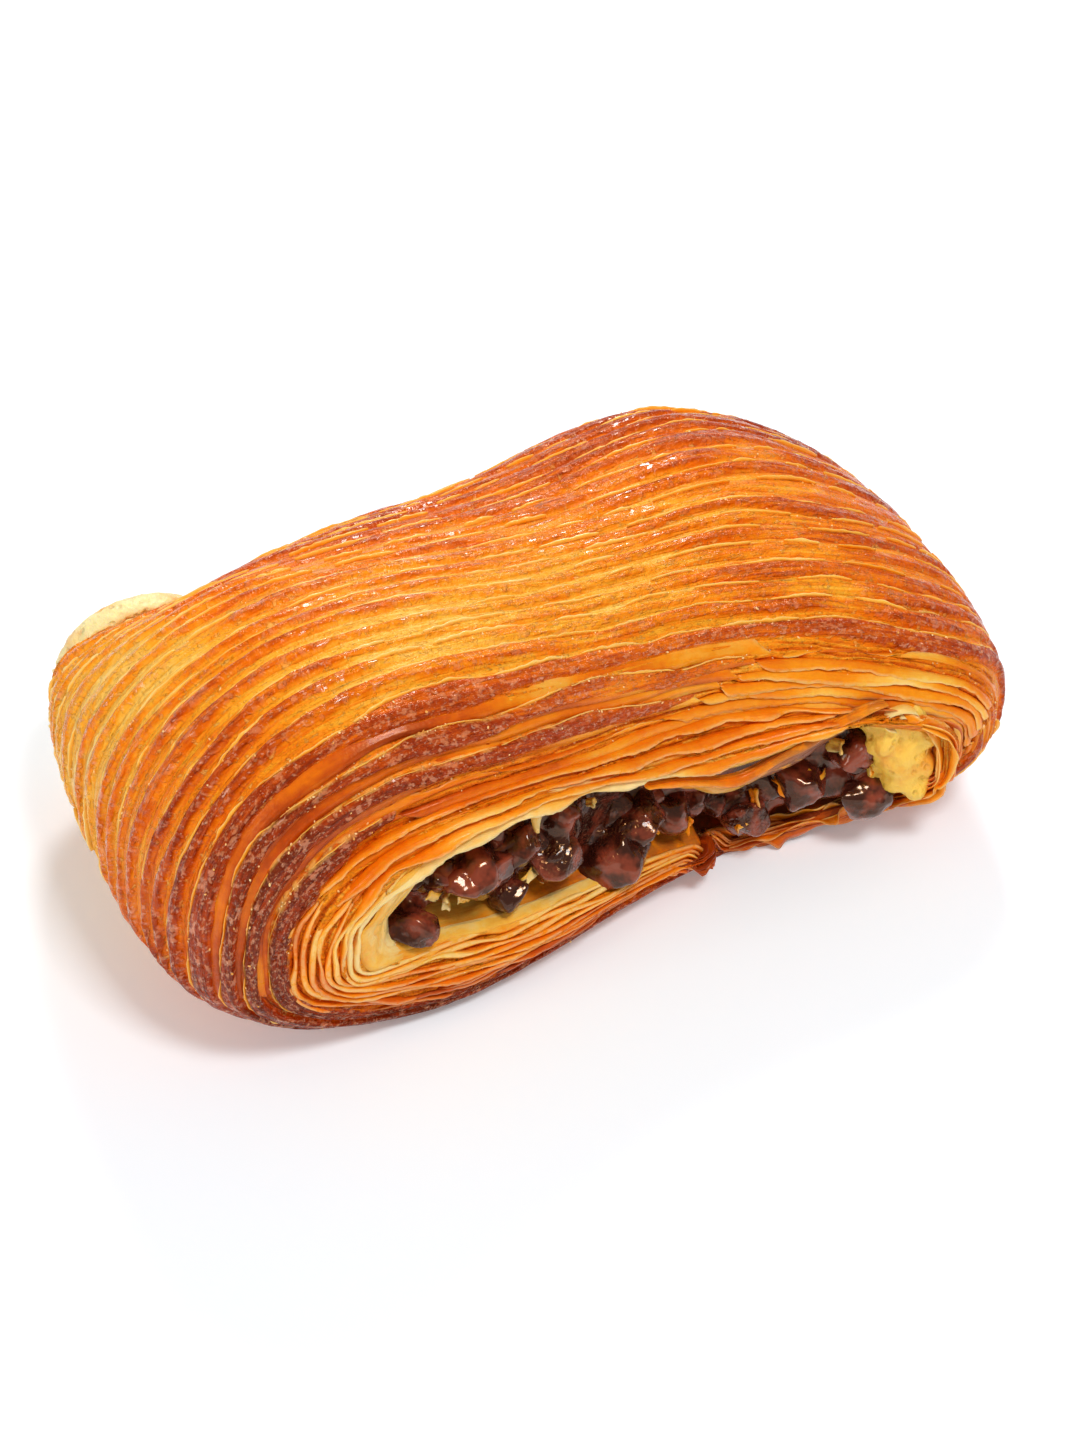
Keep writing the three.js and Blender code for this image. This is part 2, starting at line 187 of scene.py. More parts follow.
@dataclass(frozen=True)
class PastryForm:
    """The pastry's smooth form, worked out from its driving sizes in millimetres."""

    length: float = 140
    depth: float = 72.7
    belly: float = 19.1
    crown_rise: float = 26.3
    under_drop: float = 21.1
    end_round_left: float = 3.19
    end_round_right: float = 2.28
    crown_round: float = 2.72
    under_round: float = 2.2
    front_roll: Roll = Roll(2.72, 0.479, 0.216)
    back_roll: Roll = Roll(1.79, 0.53, 0.107)
    left_hump: Hump = Hump(-0.719, 0.782, 0.435, -1)
    right_hump: Hump = Hump(0.529, 0.37, 0.264, 0.84)
    waist_at: float = 0.333
    waist_width: float = 0.507
    waist_depth: float = 0.248
    shoulder_at: float = -0.72
    shoulder_width: float = 0.28
    shoulder_drop: float = 5
    rim_front_left: float = 0.74
    rim_front_middle: float = 0.6
    rim_loose_end: float = 0.93
    rim_back: float = 0.665
    tear_from: float = 15.5
    tear_to: float = 19
    lip_drop: float = 4.4
    drawn_back: float = 5.5
    loose_from: float = 46
    loose_to: float = 54
    swell_front: float = 2.2
    swell_back: float = 1.5
    lip_turn_in: float = 2
    front_opening: Opening = Opening(
        6.1, 44.8, 3.4, 3, 4.5, 3.4,
        ((-38.7, 27), (-30, 32.8), (-12, 34.4), (-4, 32), (10, 25.2), (20, 22), (28, 23),
         (36, 27.4), (42, 29.5), (50.9, 29.7)),
        ((-38.7, 14.5), (-10, 12.3), (8, 9), (20, 7.7), (50, 7)),
    )
    back_opening: Opening = Opening(
        -6.5, 50, 3.2, 3, 2.6, 3,
        ((-57, 24.5), (-20, 25.5), (10, 25.5), (44, 23)),
        ((-57, 13), (-20, 12), (15, 9), (44, 9)),
    )

    def loose_end(self, turn: Array, x: Array) -> Array:
        """How much a place belongs to the thin loose end under the right part, 0 to 1."""
        under = np.clip(-1.6 * np.sin(turn), 0, 1)
        torn = smoothstep(x, self.tear_from, self.tear_to)
        return under * torn * (1 - smoothstep(x, self.loose_from, self.loose_to))

    def crust(self, turn: Array, across: Array) -> Array:
        """Point of the smooth crust.

        Args:
            turn: Angle round the tube, in radians.
            across: Place from the front rim (-1) to the back rim (1).

        Returns:
            Points in millimetres, with x, y and z in the last axis.
        """
        turn, across = np.broadcast_arrays(np.asarray(turn, float), np.asarray(across, float))
        is_front = across < 0
        roundness = np.where(is_front, self.front_roll.roundness, self.back_roll.roundness)
        full = (1 - np.minimum(np.abs(across), 1) ** roundness) ** (1 / roundness)
        end_round = np.where(np.cos(turn) > 0, self.end_round_right, self.end_round_left)
        along = bow(np.cos(turn), end_round)
        ends = np.where(is_front, self.front_roll.ends, self.back_roll.ends)
        x = self.length / 2 * along * (1 - ends * (1 - full))
        waist = self.waist_depth * bell(along, self.waist_at, self.waist_width)
        loose = self.loose_end(turn, x)
        y = self.depth / 2 * across * (1 - np.where(is_front, waist, 0))
        y = y + self.drawn_back * loose * np.clip((-across - 0.3) / 0.7, 0, 1)
        up = bow(np.maximum(np.sin(turn), 0), self.crown_round)
        humps = 1 + sum(
            hump.height * bell(along, hump.at, hump.width) * (1 + hump.lean * across)
            for hump in (self.left_hump, self.right_hump)
        )
        drop = self.shoulder_drop * up * bell(along, self.shoulder_at, self.shoulder_width)
        crown = np.where(is_front, self.front_roll.crown, self.back_roll.crown)
        top = self.belly + self.crown_rise * humps * up * blend(crown, 1, full)
        top = top - drop * smoothstep(across, 0.3, 0.95)
        down = bow(np.minimum(np.sin(turn), 0), self.under_round)
        middle = smoothstep(along, -0.7, 0.1)
        front = blend(self.rim_front_left, self.rim_front_middle, middle)
        at_rim = np.where(is_front, blend(front, self.rim_loose_end, loose), self.rim_back)
        bottom = self.belly + self.under_drop * down * blend(at_rim, 1, full)
        return np.stack([x, y, np.where(np.sin(turn) > 0, top, bottom)], -1)

    def opening_edge(self, opening: Opening, turn: Array, inset: float = 0) -> tuple[Array, Array]:
        """Edge of an opening, made smaller all round by inset, as x and z."""
        side = np.where(np.cos(turn) > 0, opening.round_right, opening.round_left)
        level = np.where(np.sin(turn) > 0, opening.round_top, opening.round_bottom)
        x = opening.middle + (opening.half - inset) * bow(np.cos(turn), side)
        top = curve_height(opening.upper, x) - inset
        torn = smoothstep(x, self.tear_from, self.tear_to)
        bottom = curve_height(opening.lower, x) - self.lip_drop * torn + inset
        return x, blend(bottom, top, (1 + bow(np.sin(turn), level)) / 2)

    def front_face(self, x: Array) -> Array:
        """The front face's y at x, before it swells."""
        along = x / (self.length / 2 * (1 - self.front_roll.ends))
        waist = self.waist_depth * bell(along, self.waist_at, self.waist_width)
        return -self.depth / 2 * (1 - waist)

    def front_point(self, turn: Array, out: Array) -> Array:
        """Point on the front cut face: out is 0 at the opening and 1 at the rim."""
        rim = self.crust(turn, -1)
        edge_x, edge_z = self.opening_edge(self.front_opening, turn)
        x = blend(edge_x, rim[..., 0], out)
        swell = self.swell_front * (1 + 0.5 * np.sin(turn)) * np.sin(np.pi * np.maximum(out, 0) ** 0.8)
        y = self.front_face(x) - swell + self.lip_turn_in * (1 - out) ** 3
        y = y + self.drawn_back * self.loose_end(turn, x)
        return np.stack([x, y, blend(edge_z, rim[..., 2], out)], -1)

    def back_point(self, turn: Array, out: Array) -> Array:
        """Point on the back cut face: out is 0 at the opening and 1 at the rim."""
        rim = self.crust(turn, 1)
        edge_x, edge_z = self.opening_edge(self.back_opening, turn)
        swell = self.swell_back * np.sin(np.pi * out**0.8)
        y = self.depth / 2 + swell - self.lip_turn_in * (1 - out) ** 3
        x = blend(edge_x, rim[..., 0], out)
        return np.stack([x, y + 0 * x, blend(edge_z, rim[..., 2], out)], -1)

    def wall_point(self, turn: Array, forward: Array) -> Array:
        """Point on the hollow's wall: forward is 0 at the back opening and 1 at the front."""
        back = self.back_point(turn, 0)
        front = self.front_point(turn, 0)
        turned = smoothstep(np.asarray(forward, float), 0, 1)
        x = blend(back[..., 0], front[..., 0], turned)
        y = blend(back[..., 1], front[..., 1], forward)
        return np.stack([x, y, blend(back[..., 2], front[..., 2], turned)], -1)


def in_metres(points: Array) -> Array:
    """Place points of the form, in millimetres, in the shared frame, in metres."""
    return (points - np.array([0, CENTRE_BACK, 0])) * MM


# ---------------------------------------------------------------- expressions for node trees

Operand = Union[float, "Value"]


class Value:
    """A node's output that takes part in Python arithmetic."""

    def __init__(self, tree: "Tree", socket: bpy.types.NodeSocket) -> None:
        """Wrap one output socket of a tree."""
        self.tree = tree
        self.socket = socket

    def __add__(self, other: Operand) -> "Value":
        """Sum."""
        return self.tree.math("ADD", self, other)

    __radd__ = __add__

    def __mul__(self, other: Operand) -> "Value":
        """Product."""
        return self.tree.math("MULTIPLY", self, other)

    __rmul__ = __mul__

    def __sub__(self, other: Operand) -> "Value":
        """Difference."""
        return self.tree.math("SUBTRACT", self, other)

    def __rsub__(self, other: Operand) -> "Value":
        """Difference, from the other side."""
        return self.tree.math("SUBTRACT", other, self)

    def __truediv__(self, other: Operand) -> "Value":
        """Quotient."""
        return self.tree.math("DIVIDE", self, other)

    def __rtruediv__(self, other: Operand) -> "Value":
        """Quotient, from the other side."""
        return self.tree.math("DIVIDE", other, self)

    def __pow__(self, other: Operand) -> "Value":
        """Power."""
        return self.tree.math("POWER", self, other)

    def abs(self) -> "Value":
        """Size without sign."""
        return self.tree.math("ABSOLUTE", self, 0)

    def floor(self) -> "Value":
        """Whole number below."""
        return self.tree.math("FLOOR", self, 0)

    def clamp(self) -> "Value":
        """Value held between 0 and 1."""
        return self.tree.math("MINIMUM", self.tree.math("MAXIMUM", self, 0), 1)

    def smooth(self, low: Operand, high: Operand) -> "Value":
        """Smooth rise from 0 at low to 1 at high."""
        return self.tree.node(
            "ShaderNodeMapRange", {"interpolation_type": "SMOOTHSTEP"}, {0: self, 1: low, 2: high}
        )

    def parts(self) -> tuple["Value", "Value", "Value"]:
        """The three numbers of a vector."""
        split = self.tree.bare("ShaderNodeSeparateXYZ", {}, {0: self})
        return tuple(Value(self.tree, out) for out in split.outputs)

    def scaled(self, x: Operand, y: Operand, z: Operand) -> "Value":
        """The vector with each of its numbers multiplied."""
        return self.tree.node(
            "ShaderNodeVectorMath", {"operation": "MULTIPLY"}, {0: self, 1: self.tree.vector(x, y, z)}
        )

    def moved(self, x: Operand, y: Operand, z: Operand) -> "Value":
        """The vector with something added to each of its numbers."""
        return self.tree.node(
            "ShaderNodeVectorMath", {"operation": "ADD"}, {0: self, 1: self.tree.vector(x, y, z)}
        )


class Tree:
    """A node tree, of a material or of geometry, that is built by calls."""

    def __init__(self, tree: bpy.types.NodeTree) -> None:
        """Start on an empty tree."""
        self.tree = tree
        tree.nodes.clear()

    def bare(self, kind: str, settings: dict, values: dict) -> bpy.types.Node:
        """Add any node.

        Args:
            kind: Blender's name for the node's type.
            settings: Properties of the node, set before its sockets.
            values: Input sockets, by name or place, and what each is set or linked to.

        Returns:
            The new node.
        """
        node = self.tree.nodes.new(kind)
        for name, setting in settings.items():
            setattr(node, name, setting)
        for name, value in values.items():
            socket = node.inputs[name]
            if isinstance(value, Value):
                self.tree.links.new(value.socket, socket)
            else:
                socket.default_value = value
        return node

    def node(self, kind: str, settings: dict, values: dict, output: Union[int, str] = 0) -> Value:
        """Add any node and return one of its outputs, by name or place."""
        return Value(self, self.bare(kind, settings, values).outputs[output])

    def math(self, operation: str, first: Operand, second: Operand) -> Value:
        """Arithmetic on one or two numbers."""
        return self.node("ShaderNodeMath", {"operation": operation}, {0: first, 1: second})

    def vector(self, x: Operand, y: Operand, z: Operand) -> Union[Value, tuple]:
        """Vector of three numbers, each fixed or linked."""
        if not any(isinstance(part, Value) for part in (x, y, z)):
            return (x, y, z)
        return self.node("ShaderNodeCombineXYZ", {}, {0: x, 1: y, 2: z})

    def mix(self, share: Operand, start: Operand, end: Operand) -> Value:
        """Number between two others."""
        return self.node("ShaderNodeMix", {"data_type": "FLOAT"}, {0: share, 2: start, 3: end})

    def tint(self, share: Operand, start: Union[Colour, Value], end: Union[Colour, Value]) -> Value:
        """Colour between two others."""
        opaque = [c if isinstance(c, Value) else (*c, 1) for c in (start, end)]
        values = {0: share, 6: opaque[0], 7: opaque[1]}
        return self.node("ShaderNodeMix", {"data_type": "RGBA"}, values, 2)

    def scale(self, places: Sequence[tuple[float, Colour]], value: Value) -> Value:
        """Colour on a scale of places and colours, read at a value."""
        colour = places[0][1]
        for (low, _), (high, after) in zip(places, places[1:]):
            colour = self.tint(((value - low) / (high - low)).clamp(), colour, after)
        return colour

    def noise(self, at: Value, detail: float = 2, roughness: float = 0.5) -> Value:
        """Cloudy noise between about 0 and 1, one wave for each unit of the place."""
        values = {"Vector": at, "Scale": 1, "Detail": detail, "Roughness": roughness}
        return self.node("ShaderNodeTexNoise", {}, values, 0)

    def chance(self, at: Value) -> Value:
        """Random number from 0 to 1 for each value."""
        return self.node("ShaderNodeTexWhiteNoise", {"noise_dimensions": "1D"}, {"W": at}, "Value")

    def cells(self, at: Value, feature: str = "F1") -> Value:
        """Distance to the nearest cell's centre or edge."""
        values = {"Vector": at, "Scale": 1}
        return self.node("ShaderNodeTexVoronoi", {"feature": feature}, values, "Distance")


class Attribute(Enum):
    """What a mesh of dough knows of each of its points."""

    FLOW = "flow"  # place along the layers: round the tube in two numbers, then across, mm
    BAND = "band"  # number of the ridge, half its width and how strong it is
    BAKE = "bake"  # mm of crust from here to the cut layers, browning, number of the cut layer
    LEAF = "leaf"  # of a thin sheet: browning, share of its height, stain


class ShaderTree(Tree):
    """The node tree of a material."""

    def __init__(self, name: str) -> None:
        """Make a material and start on its tree."""
        self.material = bpy.data.materials.new(name)
        self.material.use_nodes = True
        super().__init__(self.material.node_tree)

    def attribute(self, which: Attribute) -> Value:
        """An attribute of the mesh, as a vector."""
        return self.node("ShaderNodeAttribute", {"attribute_name": which.value}, {}, "Vector")

    def place(self) -> Value:
        """Place on the object in millimetres."""
        at = self.node("ShaderNodeTexCoord", {}, {}, "Object")
        return at.scaled(1 / MM, 1 / MM, 1 / MM)

    def bump(self, height: Value, depth: float) -> Value:
        """Normal of a surface with fine relief; depth is in millimetres."""
        values = {"Strength": 1, "Distance": depth * MM, "Height": height}
        return self.node("ShaderNodeBump", {}, values, "Normal")

    def finish(self, **values: object) -> bpy.types.Material:
        """End the tree in one surface shader and return the material."""
        shader = self.bare("ShaderNodeBsdfPrincipled", {}, values)
        out = self.tree.nodes.new("ShaderNodeOutputMaterial")
        self.tree.links.new(shader.outputs[0], out.inputs[0])
        return self.material


class ShapeTree(Tree):
    """A geometry node tree that ends in real meshes with one material."""

    def __init__(self, name: str, inputs: dict[str, float]) -> None:
        """Make the tree with named number inputs and their values."""
        super().__init__(bpy.data.node_groups.new(name, "GeometryNodeTree"))
        face = self.tree.interface
        face.new_socket("Geometry", in_out="INPUT", socket_type="NodeSocketGeometry")
        face.new_socket("Geometry", in_out="OUTPUT", socket_type="NodeSocketGeometry")
        self.defaults: dict[str, object] = dict(inputs)
        for label in inputs:
            face.new_socket(label, in_out="INPUT", socket_type="NodeSocketFloat")
        face.new_socket("Material", in_out="INPUT", socket_type="NodeSocketMaterial")
        self.entry = self.tree.nodes.new("NodeGroupInput")

    def input(self, label: str) -> Value:
        """One of the tree's own inputs."""
        return Value(self, self.entry.outputs[label])

    def attribute(self, which: Attribute) -> Value:
        """An attribute of the mesh, as a vector."""
        settings = {"data_type": "FLOAT_VECTOR"}
        return self.node("GeometryNodeInputNamedAttribute", settings, {"Name": which.value}, 0)

    def place(self) -> Value:
        """Place on the object in millimetres."""
        at = self.node("GeometryNodeInputPosition", {}, {})
        return at.scaled(1 / MM, 1 / MM, 1 / MM)

    def raised(self, geometry: Value, height: Value) -> Value:
        """Geometry moved out along its normals by a height in millimetres."""
        normal = self.node("GeometryNodeInputNormal", {}, {})
        settings = {"operation": "SCALE"}
        offset = self.node("ShaderNodeVectorMath", settings, {0: normal, "Scale": height * MM})
        values = {"Geometry": geometry, "Offset": offset}
        return self.node("GeometryNodeSetPosition", {}, values)

    def close(self, geometry: Value) -> None:
        """End the tree: real meshes, smooth and with the material."""
        real = self.node("GeometryNodeRealizeInstances", {}, {0: geometry})
        smooth = self.node("GeometryNodeSetShadeSmooth", {}, {"Geometry": real})
        values = {"Geometry": smooth, "Material": self.input("Material")}
        dressed = self.node("GeometryNodeSetMaterial", {}, values)
        out = self.tree.nodes.new("NodeGroupOutput")
        self.tree.links.new(dressed.socket, out.inputs["Geometry"])

    def apply(self, piece: bpy.types.Object, material: bpy.types.Material) -> bpy.types.Object:
        """Run the tree on a piece and keep the result as its plain mesh.

        Args:
            piece: Mesh object that the tree works on.
            material: Finish of the result.

        Returns:
            The same object with its new mesh and no modifier.
        """
        modifier = piece.modifiers.new(self.tree.name, "NODES")
        modifier.node_group = self.tree
        self.defaults["Material"] = material
        for item in self.tree.interface.items_tree:
            if item.in_out == "INPUT" and item.name in self.defaults:
                modifier[item.identifier] = self.defaults[item.name]
        return bake_modifiers(piece)


def bake_modifiers(piece: bpy.types.Object) -> bpy.types.Object:
    """Replace a piece's mesh by its evaluated one and remove its modifiers."""
    graph = bpy.context.evaluated_depsgraph_get()
    graph.update()
    mesh = bpy.data.meshes.new_from_object(piece.evaluated_get(graph))
    piece.modifiers.clear()
    piece.data = mesh
    mesh.name = piece.name
    return piece


def new_piece(name: str, points: Array, faces: Sequence[Sequence[int]]) -> bpy.types.Object:
    """Make a smooth-shaded mesh object from points in metres and faces."""
    mesh = bpy.data.meshes.new(name)
    mesh.from_pydata(np.asarray(points).tolist(), [], np.asarray(faces).tolist())
    mesh.shade_smooth()
    piece = bpy.data.objects.new(name, mesh)
    bpy.context.scene.collection.objects.link(piece)
    return piece


def copy_of_node(name: str, node: str) -> bpy.types.Object:
    """Make a new piece from a solid of the frame, with its loose triangles joined."""
    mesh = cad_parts[node].data.copy()
    mesh.materials.clear()
    work = bmesh.new()
    work.from_mesh(mesh)
    bmesh.ops.remove_doubles(work, verts=work.verts, dist=1e-6)
    work.to_mesh(mesh)
    work.free()
    piece = bpy.data.objects.new(name, mesh)
    bpy.context.scene.collection.objects.link(piece)
    return piece


# ---------------------------------------------------------------- patterns shared by shape and finish


@dataclass
class CrustPattern:
    """The ridges and fine lines of the crust, as expressions of one tree."""

    plateau: Value
    dome: Value
    lip: Value
    groove: Value
    lines: Value
    own: Value
    strength: Value
    behind: Value


def crust_pattern(tree: Union["ShaderTree", "ShapeTree"]) -> CrustPattern:
    """Ridges, each with a ragged upper lip and a groove below it.

    Args:
        tree: Tree of a material or of geometry, whose mesh has the dough's attributes.

    Returns:
        Expressions between 0 and 1.
    """
    flow = tree.attribute(Attribute.FLOW)
    number, width, strength = tree.attribute(Attribute.BAND).parts()
    own = (number + 0.5).floor()
    offset = number - own
    patch = tree.noise(flow.scaled(0.045, 0.045, 0).moved(0, 0, own * 3.7), 1).smooth(0.3, 0.6)
    patch = patch + (strength - 0.75).smooth(0, 0.15)
    low_edge = offset.smooth(-1 * width - 0.09, -1 * width + 0.01)
    high_edge = 1 - offset.smooth(width - 0.02, width + 0.06)
    plateau = low_edge * high_edge * (0.25 + 0.75 * patch.clamp())
    dome = 1 - ((offset / (width + 0.1)) ** 2).clamp()
    ragged = tree.noise(flow.scaled(0.4, 0.4, 0.8), 3, 0.6)
    reach = 0.03 + 0.11 * tree.noise(flow.scaled(0.16, 0.16, 0.1).moved(3, 3, 3), 2)
    lip = 1 - ((offset - width - reach * 0.4).abs() / reach).clamp()
    lip = lip * ragged.smooth(0.42, 0.6)
    groove = 1 - ((offset + width + 0.11).abs() / 0.08).clamp()
    lines = tree.noise(flow.scaled(0.05, 0.05, 1.3), 2, 0.65).smooth(0.34, 0.66)
    behind = offset.smooth(width, width + 0.06) * (1 - offset.smooth(0.3, 0.5))
    return CrustPattern(plateau, dome, lip, groove, lines, own, strength, behind)


@dataclass
class LayerPattern:
    """The thin layers of the cut faces, as expressions of one tree."""

    sheet: Value
    gap: Value
    edge: Value
    grain: Value


def layer_pattern(tree: Union["ShaderTree", "ShapeTree"]) -> LayerPattern:
    """Wavy layers, each standing out or lying back by itself, with gaps between them.

    Args:
        tree: Tree of a material or of geometry, whose mesh has the dough's attributes.

    Returns:
        Expressions between 0 and 1.
    """
    flow = tree.attribute(Attribute.FLOW)
    number = tree.attribute(Attribute.BAKE).parts()[2]
    wave = (tree.noise(flow.scaled(0.05, 0.05, 0.22), 2) - 0.5) * 3.4
    small_wave = (tree.noise(flow.scaled(0.24, 0.24, 0.3).moved(4, 9, 2), 2) - 0.5) * 0.9
    level = number + wave + small_wave
    own = level.floor()
    within = level - own
    along = flow.scaled(0.06, 0.06, 0).moved(0, 0, own * 5.3)
    stand = (tree.noise(along, 2) * 0.7 + tree.chance(own) * 0.5).smooth(0.3, 0.85)
    gap_from = 0.45 + 0.4 * tree.chance(own + 31)
    rise = within.smooth(0, 0.14)
    fall = 1 - within.smooth(gap_from, gap_from + 0.22)
    edge = rise * (1 - within.smooth(0.12, 0.4))
    grain = tree.noise(flow.scaled(0.35, 0.35, 1.9), 3, 0.65)
    return LayerPattern(rise * fall * (0.45 + 0.75 * stand), 1 - rise * fall, edge, grain)


def cut_share(tree: Union["ShaderTree", "ShapeTree"]) -> Value:
    """Where cut layers show (1) instead of crust (0), with a ragged boundary."""
    flow = tree.attribute(Attribute.FLOW)
    left = tree.attribute(Attribute.BAKE).parts()[0]
    ragged = tree.noise(flow.scaled(0.12, 0.12, 0.4).moved(2, 6, 4), 3, 0.6) - 0.5
    return 1 - (left + ragged * 5).smooth(-0.5, 0.5)


# ---------------------------------------------------------------- finishes


WARM_GLOSS = (1.0, 0.50, 0.20, 1.0)  # reflections of glazed dough are warm

CRUST_SCALE: tuple[tuple[float, Colour], ...] = (
    (0.00, hex_colour("ffcc62")),
    (0.20, hex_colour("feb02c")),
    (0.38, hex_colour("fc9012")),
    (0.55, hex_colour("ec6e08")),
    (0.72, hex_colour("c64a08")),
    (0.88, hex_colour("a23008")),
    (1.05, hex_colour("701c06")),
)

SHEET_SCALE: tuple[tuple[float, Colour], ...] = (
    (0.00, hex_colour("ffdc92")),
    (0.20, hex_colour("ffbc4a")),
    (0.42, hex_colour("fc9412")),
    (0.62, hex_colour("ee7206")),
    (0.82, hex_colour("c44a08")),
    (1.05, hex_colour("842806")),
)


@dataclass(frozen=True)
class DoughFinish:
    """Baked, egg-glazed crust, and the deep gaps between the layers of the cut faces; painted
    highlights, and painted shade in grooves and gaps.
    """

    fringe_colour: Colour = hex_colour("ffc866")
    # The glint and sparkle colours are painted highlights on the ridges' tops; they stay put when the
    # light moves.
    painted_glint_colour: Colour = hex_colour("f0945c")
    painted_sparkle_colour: Colour = hex_colour("ffd4b4")

    def material(self) -> bpy.types.Material:
        """Build the material from the dough's attributes.

        Returns:
            The material.
        """
        tree = ShaderTree("baked_dough")
        flow = tree.attribute(Attribute.FLOW)
        brown = tree.attribute(Attribute.BAKE).parts()[1]
        cut = cut_share(tree)
        ridges = crust_pattern(tree)
        layers = layer_pattern(tree)
        cloud = tree.noise(flow.scaled(0.08, 0.08, 0.14).moved(2, 8, 1), 3)
        speckle = tree.noise(flow.scaled(0.75, 0.75, 1.2), 3, 0.65)
        streaks = tree.noise(flow.scaled(0.22, 0.22, 1.9).moved(6, 2, 4), 2, 0.6)
        tone = brown + 0.38 * ridges.strength * (ridges.plateau - 0.5) - 0.05 * ridges.behind
        tone = tone + 0.28 * (cloud - 0.5) + 0.16 * (ridges.lines - 0.5) + 0.26 * (speckle - 0.5)
        # The groove term darkens the groove under each ridge's lower edge: painted shade.
        tone = tone + 0.46 * (streaks - 0.5) + 0.16 * ridges.groove
        tone = tone + 0.10 * (tree.chance(ridges.own + 7) - 0.5)
        crust = tree.scale(CRUST_SCALE, tone)
        scales_and_painted_glints = tree.noise(flow.scaled(0.7, 0.7, 1.1).moved(7, 3, 8), 2, 0.7).smooth(0.50, 0.62)
        glints = scales_and_painted_glints.smooth(0.3, 1.0)
        # Painted highlight: salmon flecks on the ridges' tops, in the scaly pattern.
        crust = tree.tint(scales_and_painted_glints * ridges.plateau * ridges.strength * 0.45, crust, self.painted_glint_colour)
        # Painted highlight: pale specks on the ridges' tops.
        sparkle = tree.noise(flow.scaled(1.5, 1.5, 2.6).moved(4, 4, 1), 2, 0.6).smooth(0.60, 0.72)
        crust = tree.tint(sparkle * ridges.plateau * ridges.strength * 0.35, crust, self.painted_sparkle_colour)
        flecks = tree.noise(flow.scaled(0.6, 0.6, 1.5).moved(5, 1, 2), 3, 0.6).smooth(0.58, 0.66)
        pale = ridges.lip * 0.7 + flecks * 0.5 * (1 - ridges.plateau)
        crust = tree.tint(pale.clamp(), crust, self.fringe_colour)
        # The gap term darkens the gaps between the cut layers: painted shade.
        depth = 0.48 + 0.14 * layers.gap + 0.3 * (speckle - 0.5) + 0.3 * (cloud - 0.5)
        depth = depth + 0.5 * (brown - 0.4) + 0.3 * (layers.grain - 0.5) - 0.2 * layers.edge
        layered = tree.scale(SHEET_SCALE, depth)
        colour = tree.tint(cut, crust, layered)
        glazed = 0.34 - 0.14 * ridges.plateau + 0.25 * (speckle - 0.5)
        crackle = tree.noise(flow.scaled(0.8, 0.8, 0.8).moved(1, 1, 6), 3, 0.65)
        veins = tree.cells(flow.scaled(0.7, 0.7, 0.62)).smooth(0.0, 0.6)
        relief = crackle * 1.1 + veins * 0.8 * ridges.plateau + ridges.lines * 0.35 + scales_and_painted_glints * 0.3
        relief = relief + layers.grain * 0.5 * cut + streaks * 0.4 + flecks * 0.4
        return tree.finish(**{
            "Base Color": colour,
            "Roughness": tree.mix(cut, glazed, 0.40),
            "Specular IOR Level": 0.40,
            "Specular Tint": WARM_GLOSS,
            "Coat Weight": 0.8 * ridges.plateau * glints * (1 - cut),
            "Coat Roughness": 0.12,
            "Normal": tree.bump(relief, 0.40),
        })


@dataclass(frozen=True)
class SheetFinish:
    """Thin layers of dough: cream inside, golden outside, with pale edges and stains."""

    name: str
    edge_colour: Colour = hex_colour("ffdc94")
    stain_colour: Colour = hex_colour("86482c")

    def material(self) -> bpy.types.Material:
        """Build the material from the sheets' attributes.

        Returns:
            The material.
        """
        tree = ShaderTree(self.name)
        flow = tree.attribute(Attribute.FLOW)
        brown, share, stain = tree.attribute(Attribute.LEAF).parts()
        cloud = tree.noise(flow.scaled(0.10, 0.10, 1), 3)
        fibre = tree.noise(flow.scaled(0.12, 1.1, 1).moved(3, 0, 0), 3, 0.6)
        grain = tree.noise(tree.place().scaled(0.8, 0.8, 0.8), 3, 0.6)
        tone = brown + 0.44 * (cloud - 0.5) + 0.30 * (fibre - 0.5) + 0.26 * (grain - 0.5)
        tone = tone + 0.22 * (1 - share)
        colour = tree.scale(SHEET_SCALE, tone)
        ragged = share.smooth(0.80, 1.0) * grain.smooth(0.34, 0.52)
        colour = tree.tint(ragged * (1 - brown).clamp() * 0.7, colour, self.edge_colour)
        spots = tree.noise(tree.place().scaled(0.3, 0.3, 0.3), 3, 0.6).smooth(0.34, 0.54)
        colour = tree.tint((stain * spots).clamp(), colour, self.stain_colour)
        relief = fibre + grain * 0.7
        return tree.finish(**{
            "Base Color": colour,
            "Roughness": 0.30 + 0.2 * (grain - 0.5),
            "Specular IOR Level": 0.45,
            "Specular Tint": WARM_GLOSS,
            "Coat Weight": 0.12,
            "Coat Roughness": 0.10,
            "Subsurface Weight": 0.15,
            "Subsurface Radius": (0.0016, 0.0006, 0.0001),
            "Subsurface Scale": 1.0,
            "Normal": tree.bump(relief, 0.16),
        })


@dataclass(frozen=True)
class CrumbFinish:
    """Small blisters and crumbs of pale, dry dough."""

    pale: Colour = hex_colour("ffe0a0")
    golden: Colour = hex_colour("f8a838")

    def material(self) -> bpy.types.Material:
        """Build the material from the place on the object.

        Returns:
            The material.
        """
        tree = ShaderTree("crumbs")
        at = tree.place()
        grain = tree.noise(at.scaled(0.8, 0.8, 0.8), 3, 0.6)
        colour = tree.tint(grain.smooth(0.35, 0.65), self.pale, self.golden)
        relief = tree.noise(at.scaled(3, 3, 3), 2)
        return tree.finish(**{
            "Base Color": colour,
            "Roughness": 0.4 + 0.3 * (grain - 0.5),
            "Specular IOR Level": 0.5,
            "Normal": tree.bump(relief, 0.1),
        })


